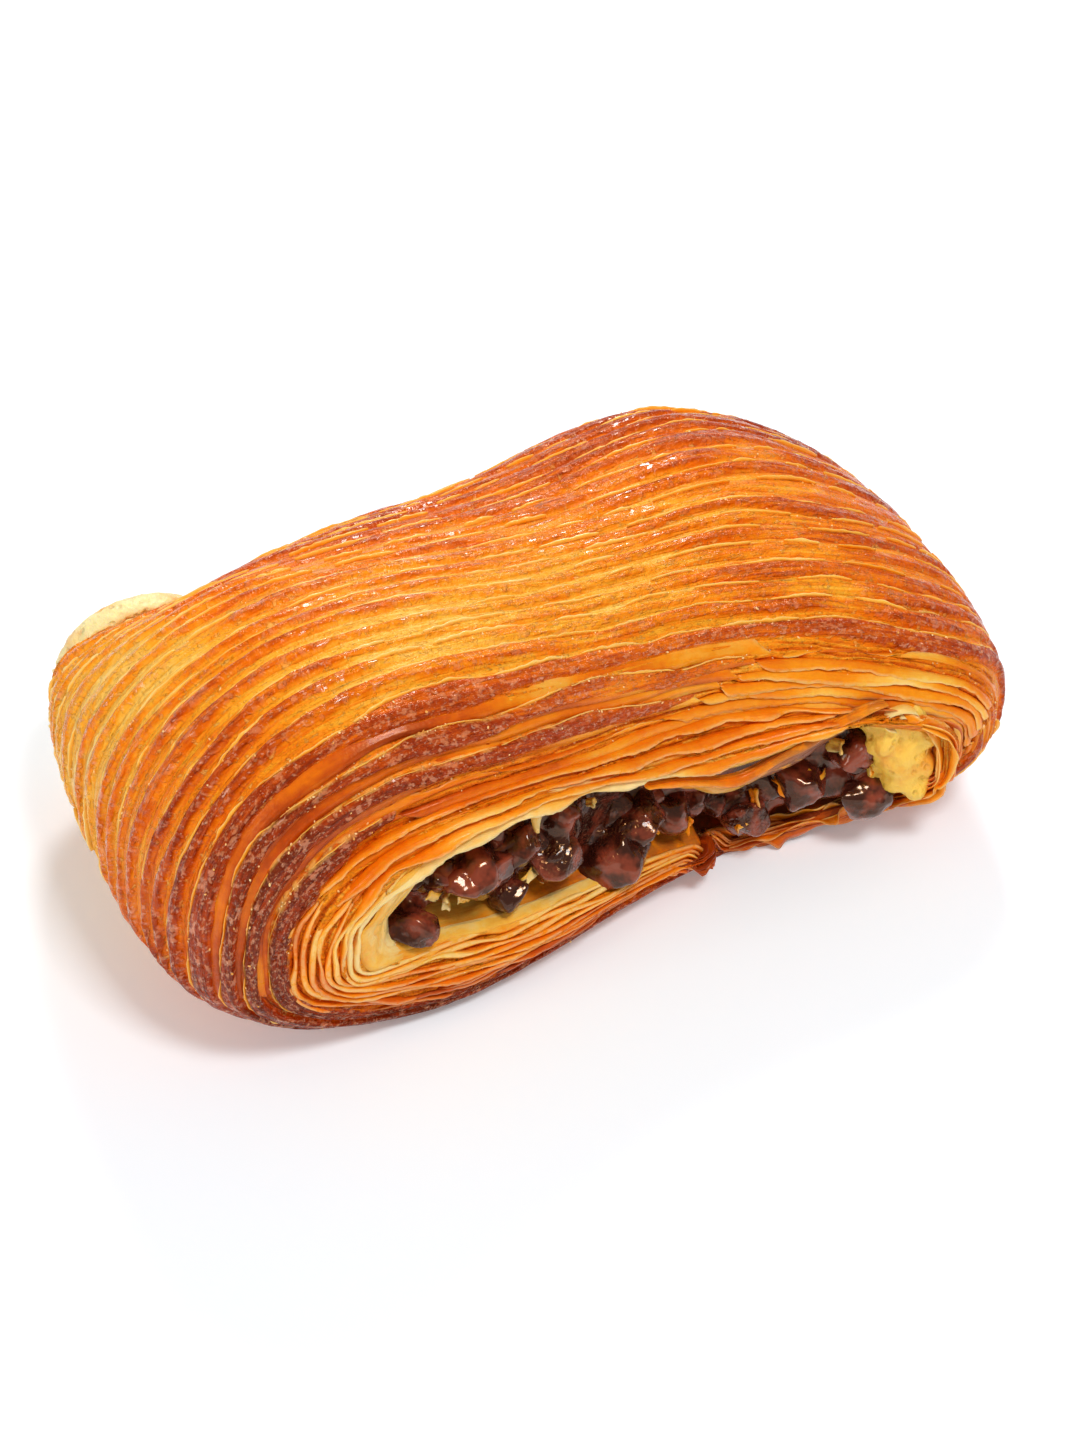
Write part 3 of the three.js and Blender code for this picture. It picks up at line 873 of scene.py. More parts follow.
@dataclass(frozen=True)
class CustardFinish:
    """Pale set custard with air holes, more golden at the right end."""

    pale: Colour = hex_colour("ffe8a4")
    golden: Colour = hex_colour("ffca4c")
    deep: Colour = hex_colour("f29a22")

    def material(self) -> bpy.types.Material:
        """Build the material from the place on the object.

        Returns:
            The material.
        """
        tree = ShaderTree("custard")
        at = tree.place()
        cloud = tree.noise(at.scaled(0.2, 0.2, 0.2), 3)
        holes = tree.cells(at.scaled(0.55, 0.55, 0.55)).smooth(0.08, 0.36)
        grain = tree.noise(at.scaled(1.2, 1.2, 1.2), 3, 0.6)
        main = tree.tint(at.parts()[0].smooth(-20, 30), self.pale, self.golden)
        colour = tree.tint(cloud.smooth(0.44, 0.74) * 0.8, main, self.deep)
        # Deeper colour inside the air holes: painted shade.
        colour = tree.tint((1 - holes) * 0.12, colour, self.deep)
        relief = grain + holes * 1.0
        return tree.finish(**{
            "Base Color": colour,
            "Roughness": 0.34 + 0.2 * cloud,
            "Specular IOR Level": 0.5,
            "Subsurface Weight": 0.2,
            "Subsurface Radius": (0.003, 0.0016, 0.0004),
            "Subsurface Scale": 1.0,
            "Normal": tree.bump(relief, 0.34),
        })


@dataclass(frozen=True)
class ChocolateFinish:
    """Half-melted chocolate: glossy, dark with red-brown cloudy patches, wrinkled in places."""

    dark: Colour = hex_colour("36130c")
    red: Colour = hex_colour("8a3a26")

    def material(self) -> bpy.types.Material:
        """Build the material from the place on the object.

        Returns:
            The material.
        """
        tree = ShaderTree("chocolate")
        at = tree.place()
        cloud = tree.noise(at.scaled(0.26, 0.26, 0.26), 3)
        patches = tree.noise(at.scaled(0.16, 0.16, 0.16).moved(3, 1, 9), 2)
        colour = tree.tint(cloud.smooth(0.42, 0.64), self.dark, self.red)
        wrinkled = tree.noise(at.scaled(0.12, 0.12, 0.12).moved(8, 2, 4), 1).smooth(0.5, 0.6)
        wrinkles = tree.cells(at.scaled(1.0, 1.0, 1.0), "DISTANCE_TO_EDGE").smooth(0, 0.3)
        relief = wrinkles * wrinkled + 0.3 * tree.noise(at.scaled(1.4, 1.4, 1.4), 2)
        return tree.finish(**{
            "Base Color": colour,
            "Roughness": 0.14 + 0.14 * patches.smooth(0.5, 0.66),
            "Specular IOR Level": 0.5,
            "Specular Tint": WARM_GLOSS,
            "Coat Weight": 0.3 + 0.4 * cloud,
            "Coat Roughness": 0.05,
            "Normal": tree.bump(relief, 0.10),
        })


# ---------------------------------------------------------------- the dough


@dataclass(frozen=True)
class Ridge:
    """A ridge of the crust: place across from the front rim and width, in mm, and strength."""

    across: float
    width: float
    strength: float


@dataclass
class Layout:
    """Where ridges and layers lie on the pastry, in millimetres round and across it."""

    form: PastryForm
    crust_across: float = 93.6
    face_across: float = 20
    wall_across: float = 62
    face_layers: float = 13
    ridges: tuple[Ridge, ...] = (
        Ridge(1.6, 3.4, 0.9), Ridge(7.2, 2.6, 1), Ridge(11.8, 2.5, 1), Ridge(17.4, 3.1, 1),
        Ridge(21.6, 1.5, 0.75), Ridge(24.8, 1.5, 0.7), Ridge(28.4, 1.3, 0.5), Ridge(32.9, 1.7, 0.5),
        Ridge(37.4, 1.6, 0.5), Ridge(41.4, 1.4, 0.45), Ridge(45.0, 1.3, 0.5), Ridge(49.6, 1.9, 0.65),
        Ridge(54.6, 1.8, 0.6), Ridge(58.6, 1.8, 0.7), Ridge(64.4, 2.0, 0.6), Ridge(69.2, 1.6, 0.6),
        Ridge(74.0, 1.8, 0.65), Ridge(79.0, 1.7, 0.7), Ridge(84.0, 1.8, 0.7), Ridge(88.6, 1.6, 0.7),
        Ridge(92.6, 1.6, 0.7),
    )

    def __post_init__(self) -> None:
        """Measure the crust round its middle and across its crown."""
        self.fine_turn = np.linspace(-np.pi / 2, 3 * np.pi / 2, 8001)
        steps = np.linalg.norm(np.diff(self.form.crust(self.fine_turn, 0), axis=0), axis=1)
        self.fine_round = np.concatenate([[0], np.cumsum(steps)])
        self.fine_share = np.sin(np.linspace(-np.pi / 2, np.pi / 2, 4001))
        steps = np.linalg.norm(np.diff(self.form.crust(2.0, self.fine_share), axis=0), axis=1)
        lengths = np.concatenate([[0], np.cumsum(steps)])
        self.fine_across = lengths * self.crust_across / lengths[-1]

    @property
    def round_total(self) -> float:
        """Length of the loop round the middle of the crust."""
        return self.fine_round[-1]

    def turns(self, count: int, base_density: float) -> Array:
        """Turns at even distances, wider apart on the base.

        Args:
            count: How many turns.
            base_density: Density on the base, as a share of that on the rest.

        Returns:
            Rising turns over one whole loop, from the middle of the base.
        """
        middle = (self.fine_turn[1:] + self.fine_turn[:-1]) / 2
        dense = np.where(np.sin(middle) > -0.5, 1.0, base_density)
        weights = np.concatenate([[0], np.cumsum(np.diff(self.fine_round) * dense)])
        return np.interp((np.arange(count) + 0.5) / count * weights[-1], weights, self.fine_turn)

    def even_turns(self, start: float, end: float, step: float) -> Array:
        """Turns between two others, in degrees, about one step in mm apart."""
        low, high = np.interp(np.radians([start, end]), self.fine_turn, self.fine_round)
        wanted = np.linspace(low, high, max(3, int((high - low) / step)))
        return np.interp(wanted, self.fine_round, self.fine_turn)

    def share(self, across: Array) -> Array:
        """Share from rim to rim of a place across the crust, in mm."""
        return np.interp(across, self.fine_across, self.fine_share)

    def flow(self, turn: Array, across: Array) -> Array:
        """Place along the layers: two numbers round the loop, without a seam, and one across."""
        angle = 2 * np.pi * np.interp(turn, self.fine_turn, self.fine_round) / self.round_total
        radius = self.round_total / (2 * np.pi)
        return np.stack(np.broadcast_arrays(radius * np.cos(angle), radius * np.sin(angle), across), -1)

    def bands(self, turn: Array, across: Array, x: Array) -> Array:
        """Ridge number with its wander, half width in spacings, and strength.

        Args:
            turn: Turns of the points.
            across: Their places across the crust, in mm.
            x: Their places along the pastry, in mm.

        Returns:
            The three numbers in the last axis.
        """
        places = np.array([ridge.across for ridge in self.ridges])
        spacing = np.gradient(places)
        flow = self.flow(turn, across)
        round_x, round_y = flow[..., 0], flow[..., 1]
        wander = 1.0 * ripple(1, 34, round_x, round_y, across * 1.5)
        wander = wander + 0.14 * ripple(2, 7, round_x, round_y, across)
        numbers = np.interp(across + wander * smoothstep(across, 0, 8), places, np.arange(len(places)))
        halves = np.interp(across, places, [r.width / 2 for r in self.ridges] / spacing)
        far = smoothstep(across, 18, 24)
        halves = halves * (1 + far * (0.4 * smoothstep(x, -24, 10) - 0.28 * smoothstep(-x, 18, 40)))
        halves = halves * (1 + 0.3 * ripple(3, 30, round_x, round_y, numbers * 9))
        strengths = np.interp(across, places, [r.strength for r in self.ridges])
        fades = 0.28 * smoothstep(x, -30, 2) * (1 - smoothstep(across, 13, 16))
        strengths = strengths * (1 - fades) + 0.35 * bell(across, 32, 18) * smoothstep(-x, 22, 44)
        return np.stack(np.broadcast_arrays(numbers, halves, np.minimum(strengths, 1)), -1)

    def lip_share(self, turn: Array) -> Array:
        """Share of the front face, from the opening, that smooth inner sheets cover."""
        degrees = np.degrees(turn) % 360
        smooth_lip = smoothstep(degrees, 66, 88) * (1 - smoothstep(degrees, 200, 232))
        flap = smoothstep(degrees, 24, 40) * (1 - smoothstep(degrees, 66, 88))
        return 0.05 + 0.29 * smooth_lip + 0.42 * flap

    def crust_edge(self, x: Array, turn: Array) -> Array:
        """Where the crust gives way to cut layers, in mm across from the front rim."""
        on_top = smoothstep(np.sin(turn), -0.2, 0.25)
        rise = 5.6 * smoothstep(x, -50, -30) + 10.2 * smoothstep(x, 8, 30)
        return rise * on_top - 0.8

    def browning(self, points: Array, across: Array) -> Array:
        """How brown the crust is, 0 to 1, from its place."""
        x = points[..., 0]
        brown = 0.50 - 0.24 * bell(x, -2, 28) * bell(across, 36, 17)
        brown = brown - 0.14 * bell(x, -30, 24) * bell(across, 28, 12)
        brown = brown - 0.26 * smoothstep(-x, 40, 60) * smoothstep(across, 30, 54)
        brown = brown + 0.22 * smoothstep(-x, 36, 64) * (1 - smoothstep(across, 14, 40))
        brown = brown + 0.14 * bell(across, 74, 14) * smoothstep(x, -50, -28)
        brown = brown + 0.17 * bell(x, -32, 26) * (1 - smoothstep(across, 10, 24))
        brown = brown + 0.09 * smoothstep(x, 34, 58) + 0.05 * (1 - smoothstep(across, 4, 18))
        return brown + 0.22 * (1 - smoothstep(points[..., 2], 0, 7))

    def crust_frame(self, turn: Array, across: Array) -> tuple[Array, Array, Array]:
        """Points of the crust with their outward normals and their ways to the back."""
        point = self.form.crust(turn, self.share(across))
        beside = self.form.crust(turn + 0.004, self.share(across)) - point
        back = self.form.crust(turn, self.share(across) + 0.003) - point
        back = unit(back)
        return point, unit(np.cross(back, beside)), back

    def face_frame(self, turn: Array, out: Array, is_front: bool) -> tuple[Array, Array, Array]:
        """Points of a cut face with their outward normals and their ways to the rim."""
        surface = self.form.front_point if is_front else self.form.back_point
        point = surface(turn, out)
        beside = surface(turn + 0.004, out) - point
        rimward = unit(surface(turn, out + 0.01) - point)
        normal = unit(np.cross(rimward, beside))
        return point, normal if is_front else -normal, rimward


@dataclass
class Dough:
    """The folded, laminated dough as one closed surface with relief."""

    layout: Layout
    finish: DoughFinish
    turn_count: int = 312
    crust_rows: int = 236
    face_rows: int = 44
    back_rows: int = 28
    wall_rows: int = 8
    ridge_height: float = 1.1
    layer_height: float = 0.7

    def build(self) -> bpy.types.Object:
        """Make the closed surface, raise its relief and give it its finish.

        Returns:
            The finished piece.
        """
        layout, form = self.layout, self.layout.form
        turn = layout.turns(self.turn_count, 0.35)[None, :]
        crust_mm = np.linspace(0, layout.crust_across, self.crust_rows)
        back_out = np.linspace(1, 0, self.back_rows + 1)[1:]
        wall = np.linspace(0, 1, self.wall_rows + 2)[1:-1]
        face_out = np.linspace(0, 1, self.face_rows + 1)[:-1]
        points = np.concatenate([
            form.crust(turn, layout.share(crust_mm)[:, None]),
            form.back_point(turn, back_out[:, None]),
            form.wall_point(turn, wall[:, None]),
            form.front_point(turn, face_out[:, None]),
        ])
        points[..., 2] = np.maximum(points[..., 2], 0)
        near_back = layout.crust_across + layout.face_across + wall * layout.wall_across
        near_front = -layout.face_across - (1 - wall) * layout.wall_across
        inside = np.where(wall < 0.5, near_back, near_front)
        across = np.concatenate([
            crust_mm,
            layout.crust_across + layout.face_across * (1 - back_out),
            inside,
            -layout.face_across * (1 - face_out),
        ])
        number = np.concatenate([
            -crust_mm / (layout.face_across / layout.face_layers),
            layout.face_layers * (1 - back_out),
            np.full(self.wall_rows, layout.face_layers),
            layout.face_layers * (1 - face_out),
        ])
        piece = self.mesh(points)
        self.describe(piece, points, turn, across[:, None], number[:, None])
        self.raise_relief(piece)
        return piece

    def mesh(self, points: Array) -> bpy.types.Object:
        """Closed quad surface from a grid of rings and turns."""
        rings, count = points.shape[:2]
        ring = np.arange(rings)[:, None]
        turn = np.arange(count)[None, :]
        next_ring = (ring + 1) % rings
        next_turn = (turn + 1) % count
        corners = [ring * count + turn, next_ring * count + turn,
                   next_ring * count + next_turn, ring * count + next_turn]
        faces = np.stack([np.broadcast_to(c, (rings, count)) for c in corners], -1).reshape(-1, 4)
        return new_piece("dough_crust", in_metres(points).reshape(-1, 3), faces)

    def describe(self, piece: bpy.types.Object, points: Array, turn: Array,
                 across: Array, number: Array) -> None:
        """Store on each point where it lies among the ridges and layers.

        Args:
            piece: The dough's mesh object.
            points: Its points, rings by turns.
            turn: Turn of each column.
            across: Place of each ring across the crust, in mm.
            number: Number of the cut layer at each ring.
        """
        layout, x = self.layout, points[..., 0]
        left = np.minimum(across - layout.crust_edge(x, turn), layout.crust_across + 0.8 - across)
        bake = np.stack(np.broadcast_arrays(left, self.face_browning(points, across), number), -1)
        store_vectors(piece, Attribute.FLOW, layout.flow(turn, across + 0 * x))
        store_vectors(piece, Attribute.BAND, layout.bands(turn, across, x))
        store_vectors(piece, Attribute.BAKE, bake)

    def face_browning(self, points: Array, across: Array) -> Array:
        """Browning of the crust and, further in, of the cut faces."""
        crust = self.layout.browning(points, across)
        inner = np.maximum(smoothstep(-across, 0, 8), smoothstep(across, 94, 102))
        pale = 0.42 + 0.40 * (1 - smoothstep(points[..., 2], 1, 7)) - 0.25 * smoothstep(-across, 9, 19)
        return blend(crust, pale, inner)

    def raise_relief(self, piece: bpy.types.Object) -> None:
        """Move the surface out and in along the ridges and layers.

        Args:
            piece: The dough's mesh object, with its attributes.
        """
        inputs = {"Ridge Height": self.ridge_height, "Layer Height": self.layer_height}
        tree = ShapeTree("laminated_relief", inputs)
        flow = tree.attribute(Attribute.FLOW)
        cut = cut_share(tree)
        ridges = crust_pattern(tree)
        layers = layer_pattern(tree)
        ridge_top = ridges.plateau * (0.65 + 0.35 * ridges.dome) * ridges.strength
        ridge_top = ridge_top + 0.12 * ridges.lip - 0.30 * ridges.groove
        crust = tree.input("Ridge Height") * (ridge_top - 0.30) + 0.22 * (ridges.lines - 0.5)
        crackle = tree.noise(flow.scaled(0.5, 0.5, 0.5), 3, 0.55)
        crust = crust + 0.3 * (crackle - 0.5)
        face = tree.input("Layer Height") * (layers.sheet - 0.9) + 0.25 * (layers.grain - 0.5)
        height = tree.mix(cut, crust, face)
        swell = tree.noise(flow.scaled(0.05, 0.05, 0.08).moved(5, 5, 5), 1) - 0.5
        height = (height + 0.8 * swell) * tree.place().parts()[2].smooth(0, 1.5)
        tree.close(tree.raised(tree.input("Geometry"), height))
        tree.apply(piece, self.finish.material())


def store_vectors(piece: bpy.types.Object, which: Attribute, values: Array) -> None:
    """Store a vector on each point of a piece."""
    store = piece.data.attributes.new(which.value, "FLOAT_VECTOR", "POINT")
    store.data.foreach_set("vector", np.ascontiguousarray(values, np.float32).ravel())


# ---------------------------------------------------------------- thin sheets of dough


class SheetMesh:
    """Thin closed sheets, gathered in one mesh with what their finish reads."""

    def __init__(self) -> None:
        """Start without sheets."""
        self.points: list[Array] = []
        self.faces: list[Array] = []
        self.leaf: list[Array] = []
        self.flow: list[Array] = []
        self.count = 0

    def add(self, middle: Array, thickness: Union[float, Array], brown: Union[float, Array],
            stain: Union[float, Array] = 0.0, closed: bool = False) -> None:
        """Add one sheet.

        Args:
            middle: Points of the sheet's middle, along by across it, in mm.
            thickness: Its thickness in mm, one number or one for each point.
            brown: Its browning, 0 to 1, one number or one for each place along.
            stain: How stained it is, 0 to 1, one number or one for each place along.
            closed: Whether it runs round and meets its own start.
        """
        steps, rows = middle.shape[:2]
        ahead = np.roll(middle, -1, 0) - np.roll(middle, 1, 0) if closed else np.gradient(middle, axis=0)
        normal = unit(np.cross(ahead, np.gradient(middle, axis=1)))
        taper = np.ones(rows)
        taper[[0, -1]] = 0.35
        offset = normal * (np.broadcast_to(thickness, (steps, rows)) * taper / 2)[..., None]
        section = np.concatenate([middle + offset, (middle - offset)[:, ::-1]], 1)
        size = 2 * rows
        along = np.arange(steps if closed else steps - 1)[:, None]
        round_it = np.arange(size)[None, :]
        next_along, next_round = (along + 1) % steps, (round_it + 1) % size
        corners = [along * size + round_it, next_along * size + round_it,
                   next_along * size + next_round, along * size + next_round]
        self.faces.append(np.stack(corners, -1).reshape(-1, 4) + self.count)
        if not closed:
            near = np.arange(rows - 1)
            cap = np.stack([near, near + 1, size - 2 - near, size - 1 - near], -1)
            self.faces.append(cap + self.count)
            self.faces.append(cap[:, ::-1] + (steps - 1) * size + self.count)
        share = np.linspace(0, 1, rows)
        share = np.concatenate([share, share[::-1]])
        length = np.concatenate([[0], np.cumsum(np.linalg.norm(np.diff(middle[:, 0], axis=0), axis=1))])
        column = np.broadcast_to(np.asarray(brown, float), (steps,))[:, None]
        stained = np.broadcast_to(np.asarray(stain, float), (steps,))[:, None]
        self.leaf.append(np.stack(np.broadcast_arrays(column, share[None], stained), -1).reshape(-1, 3))
        wide = np.linalg.norm(middle[:, -1] - middle[:, 0], axis=-1)[:, None]
        own = float(len(self.leaf)) * 7.3
        self.flow.append(np.stack(np.broadcast_arrays(length[:, None], share[None] * wide, own), -1)
                         .reshape(-1, 3))
        self.points.append(section.reshape(-1, 3))
        self.count += steps * size

    def piece(self, name: str, finish: "SheetFinish", relief: float) -> bpy.types.Object:
        """Join the sheets in one piece with an uneven surface and their finish.

        Args:
            name: Name of the piece.
            finish: Finish of the sheets.
            relief: Unevenness in mm.

        Returns:
            The finished piece.
        """
        points = np.concatenate(self.points)
        points[:, 2] = np.maximum(points[:, 2], 0.05)
        piece = new_piece(name, in_metres(points), np.concatenate(self.faces))
        store_vectors(piece, Attribute.LEAF, np.concatenate(self.leaf))
        store_vectors(piece, Attribute.FLOW, np.concatenate(self.flow))
        tree = ShapeTree(name + "_surface", {"Relief": relief})
        at = tree.place()
        grain = tree.noise(at.scaled(0.35, 0.35, 0.35), 2, 0.5) - 0.5
        height = tree.input("Relief") * grain * 2 * at.parts()[2].smooth(0.2, 1)
        tree.close(tree.raised(tree.input("Geometry"), height))
        return tree.apply(piece, finish.material())


def stand(point: Array, normal: Array, lean: Array, heights: Array, shares: Sequence[float]) -> Array:
    """Middle of a sheet that stands on a surface.

    Args:
        point: Points of its foot.
        normal: Way it stands.
        lean: How far it leans over at the top, as vectors in shares of its height.
        heights: Height of its free edge at each point, in mm.
        shares: Places up the sheet; those below 0 are mm into the surface.

    Returns:
        Points along by across the sheet.
    """
    rows = []
    for share in shares:
        up = share if share < 0 else share * heights
        bend = max(share, 0) ** 1.6 * heights
        rows.append(point + normal * np.asarray(up)[..., None] + lean * np.asarray(bend)[..., None])
    return np.stack(rows, 1)


@dataclass
class CutLayers:
    """Layers of the front cut face and of the crust's cut corner as standing sheets."""

    layout: Layout
    finish: "SheetFinish"
    count: int = 10
    top_layers: tuple[int, ...] = (0, 3, 6, 9)
    right_layers: tuple[int, ...] = (1, 5, 9)
    step: float = 0.6
    shingles: int = 7
    shingle_pitch: float = 2.0

    def build(self) -> bpy.types.Object:
        """Make all sheets of the front as one piece."""
        sheets = SheetMesh()
        for number in range(self.count):
            self.add_layer(sheets, number)
        for number in range(self.shingles):
            self.add_shingle(sheets, number)
        return sheets.piece("front_layers", self.finish, 0.05)

    def add_layer(self, sheets: SheetMesh, number: int) -> None:
        """Add one layer that runs round the opening.

        Args:
            sheets: Mesh that gathers the sheets.
            number: Which layer it is, counted from the opening to the rim.
        """
        layout = self.layout
        turn = layout.even_turns(-90, 269.4, self.step)
        flow = layout.flow(turn, 0.0)
        wander = 0.46 * round_ripple(20 + number, 26, flow)
        place = (number + 0.6) / self.count + wander / self.count
        out = np.clip(blend(layout.lip_share(turn), 1, place), 0.02, 0.985)
        point, normal, rimward = layout.face_frame(turn, out, True)
        near = layout.form.front_point(turn, np.clip(out - 0.5 / self.count, 0, 1))
        far = layout.form.front_point(turn, np.clip(out + 0.5 / self.count, 0, 1))
        spacing = np.linalg.norm(far - near, axis=-1)
        on_top = smoothstep(np.sin(turn), 0.35, 0.8)
        on_right = smoothstep(np.cos(turn), 0.45, 0.8)
        hidden = np.maximum(on_top * (number not in self.top_layers),
                            on_right * (number not in self.right_layers))
        height = 0.60 + 0.3 * on_top + 0.32 * round_ripple(40 + number, 18, flow)
        height = height + 0.06 * round_ripple(60 + number, 3, flow) - 2.3 * hidden
        lean = rimward * (-1.5 * on_top + 0.2 * round_ripple(80 + number, 20, flow))[:, None]
        middle = stand(point, normal, lean, height, (-1.6, -0.2, 0.35, 0.7, 1))
        thick = spacing * (0.5 + 0.18 * round_ripple(100 + number, 15, flow))
        thick = np.clip(thick, 0.25, 0.95)[:, None]
        share = number / (self.count - 1)
        brown = 0.28 + 0.20 * share + 0.12 * round_ripple(120 + number, 30, flow)
        brown = brown + 0.45 * (1 - smoothstep(point[..., 2], 2, 9)) * share
        brown = brown + 0.08 * smoothstep(point[..., 0], 0, 30)
        # Browner where the layer faces down on the lower side of the opening: painted shade.
        brown = brown + 0.16 * smoothstep(-np.sin(turn), 0.2, 0.8)
        cream = (1 - smoothstep(place, 0.0, 0.36)) * smoothstep(-point[..., 0], -14, 0)
        sheets.add(middle, thick, brown - 0.30 * cream, closed=True)

    def add_shingle(self, sheets: SheetMesh, number: int) -> None:
        """Add one layer of the cut corner over the front rim, laid down to the front.

        Args:
            sheets: Mesh that gathers the sheets.
            number: Which layer it is, counted from the rim to the back.
        """
        layout = self.layout
        across = 1.2 + self.shingle_pitch * number
        turn = layout.even_turns(-8, 188, self.step)
        flow = layout.flow(turn, across)
        across = across + 0.5 * round_ripple(140 + number, 28, flow)
        point, normal, back = layout.crust_frame(turn, np.maximum(across, 0.2))
        inside = smoothstep(layout.crust_edge(point[..., 0], turn) - across, -0.4, 3.2)
        height = 0.42 + 0.12 * round_ripple(160 + number, 20, flow)
        height = height + 0.03 * round_ripple(180 + number, 3, flow)
        height = height * inside - 0.9 * (1 - inside)
        middle = stand(point, normal, -3.6 * back, height, (-1.2, 0.0, 0.35, 0.7, 1))
        thick = np.clip(0.42 + 0.12 * round_ripple(200 + number, 15, flow), 0.15, 0.7)[:, None]
        brown = 0.38 + 0.14 * round_ripple(220 + number, 26, flow)
        brown = brown + 0.24 * smoothstep(-point[..., 0], 4, 34)
        sheets.add(middle, thick, brown)


@dataclass
class BackLayers:
    """Layers of the back cut face as standing sheets."""

    layout: Layout
    finish: "SheetFinish"
    count: int = 10
    step: float = 0.8

    def build(self) -> bpy.types.Object:
        """Make all sheets of the back as one piece.

        Returns:
            The finished piece.
        """
        sheets = SheetMesh()
        layout = self.layout
        for number in range(self.count):
            turn = layout.even_turns(-90, 269, self.step)
            flow = layout.flow(turn, 0.0)
            wander = 0.4 / self.count * round_ripple(320 + number, 26, flow)
            out = np.clip((number + 0.6) / self.count + wander, 0.02, 0.98)
            point, normal, rimward = layout.face_frame(turn, out, False)
            height = 0.55 + 0.4 * round_ripple(340 + number, 18, flow)
            height = height + 0.14 * round_ripple(360 + number, 2, flow)
            lean = rimward * (0.3 * round_ripple(380 + number, 20, flow))[:, None]
            middle = stand(point, normal, lean, height, (-1.4, -0.3, 0.5, 1))
            thick = np.clip(0.55 + 0.2 * round_ripple(400 + number, 15, flow), 0.2, 0.9)[:, None]
            brown = 0.16 + 0.34 * number / (self.count - 1)
            brown = brown + 0.12 * round_ripple(420 + number, 30, flow)
            sheets.add(middle, thick, brown, closed=True)
        return sheets.piece("back_layers", self.finish, 0.05)


@dataclass
class RidgeFringes:
    """Torn, pale upper edges of the ridges, which stand off the crust."""

    layout: Layout
    finish: "SheetFinish"
    step: float = 0.5
    seed: int = 11

    def build(self) -> bpy.types.Object:
        """Make the torn edges of all ridges as one piece."""
        sheets = SheetMesh()
        random = np.random.default_rng(self.seed)
        for number in range(len(self.layout.ridges) - 1):
            self.add_ridge(sheets, number, random)
        return sheets.piece("ridge_fringes", self.finish, 0.03)

    def upper_edge(self, number: int, turn: Array) -> Array:
        """Place across of a ridge's upper edge, in mm, at each turn."""
        layout = self.layout
        near = layout.ridges[number].across
        across = np.linspace(max(near - 3, 0), near + 6, 160)[:, None]
        x = layout.form.crust(turn[None], layout.share(across))[..., 0]
        bands = layout.bands(turn[None], across + 0 * x, x)
        past = bands[..., 0] - number > bands[..., 1]
        return across[np.argmax(past, 0), 0]

    def add_ridge(self, sheets: SheetMesh, number: int, random: np.random.Generator) -> None:
        """Add the torn edge of one ridge in many short sheets.

        Args:
            sheets: Mesh that gathers the sheets.
            number: Which ridge it is, counted from the front rim.
            random: Source of the lengths and leans.
        """
        layout = self.layout
        turn = layout.even_turns(-32, 212, self.step)
        across = self.upper_edge(number, turn)
        point, normal, back = layout.crust_frame(turn, across)
        flow = layout.flow(turn, across)
        showing = across > layout.crust_edge(point[..., 0], turn) + 0.6
        strength = layout.ridges[number].strength
        reach = 0.10 + 0.34 * strength
        brown = layout.browning(point, across)
        frill = 1 + 0.25 * round_ripple(700 + number, 2.4, flow)
        place = 0
        while place < len(turn) - 8:
            count = int(random.uniform(4, 15) / self.step)
            part = slice(place, min(place + count, len(turn)))
            place += count + int(random.uniform(0.6, 14 - 11 * strength) / self.step)
            size = part.stop - part.start
            if size < 4 or not showing[part].all():
                continue
            ends = tapered(size, 0.12, 0.5)
            high = ends * frill[part] * random.uniform(0.7, 1.2) * reach
            lean = back[part] * random.uniform(0.3, 1.1)
            middle = stand(point[part] + 0.12 * normal[part], normal[part], lean,
                           np.maximum(high, 0.08), (-0.6, 0.35, 1))
            sheets.add(middle, random.uniform(0.1, 0.2), 0.10 + 0.5 * (brown[part] - 0.3))


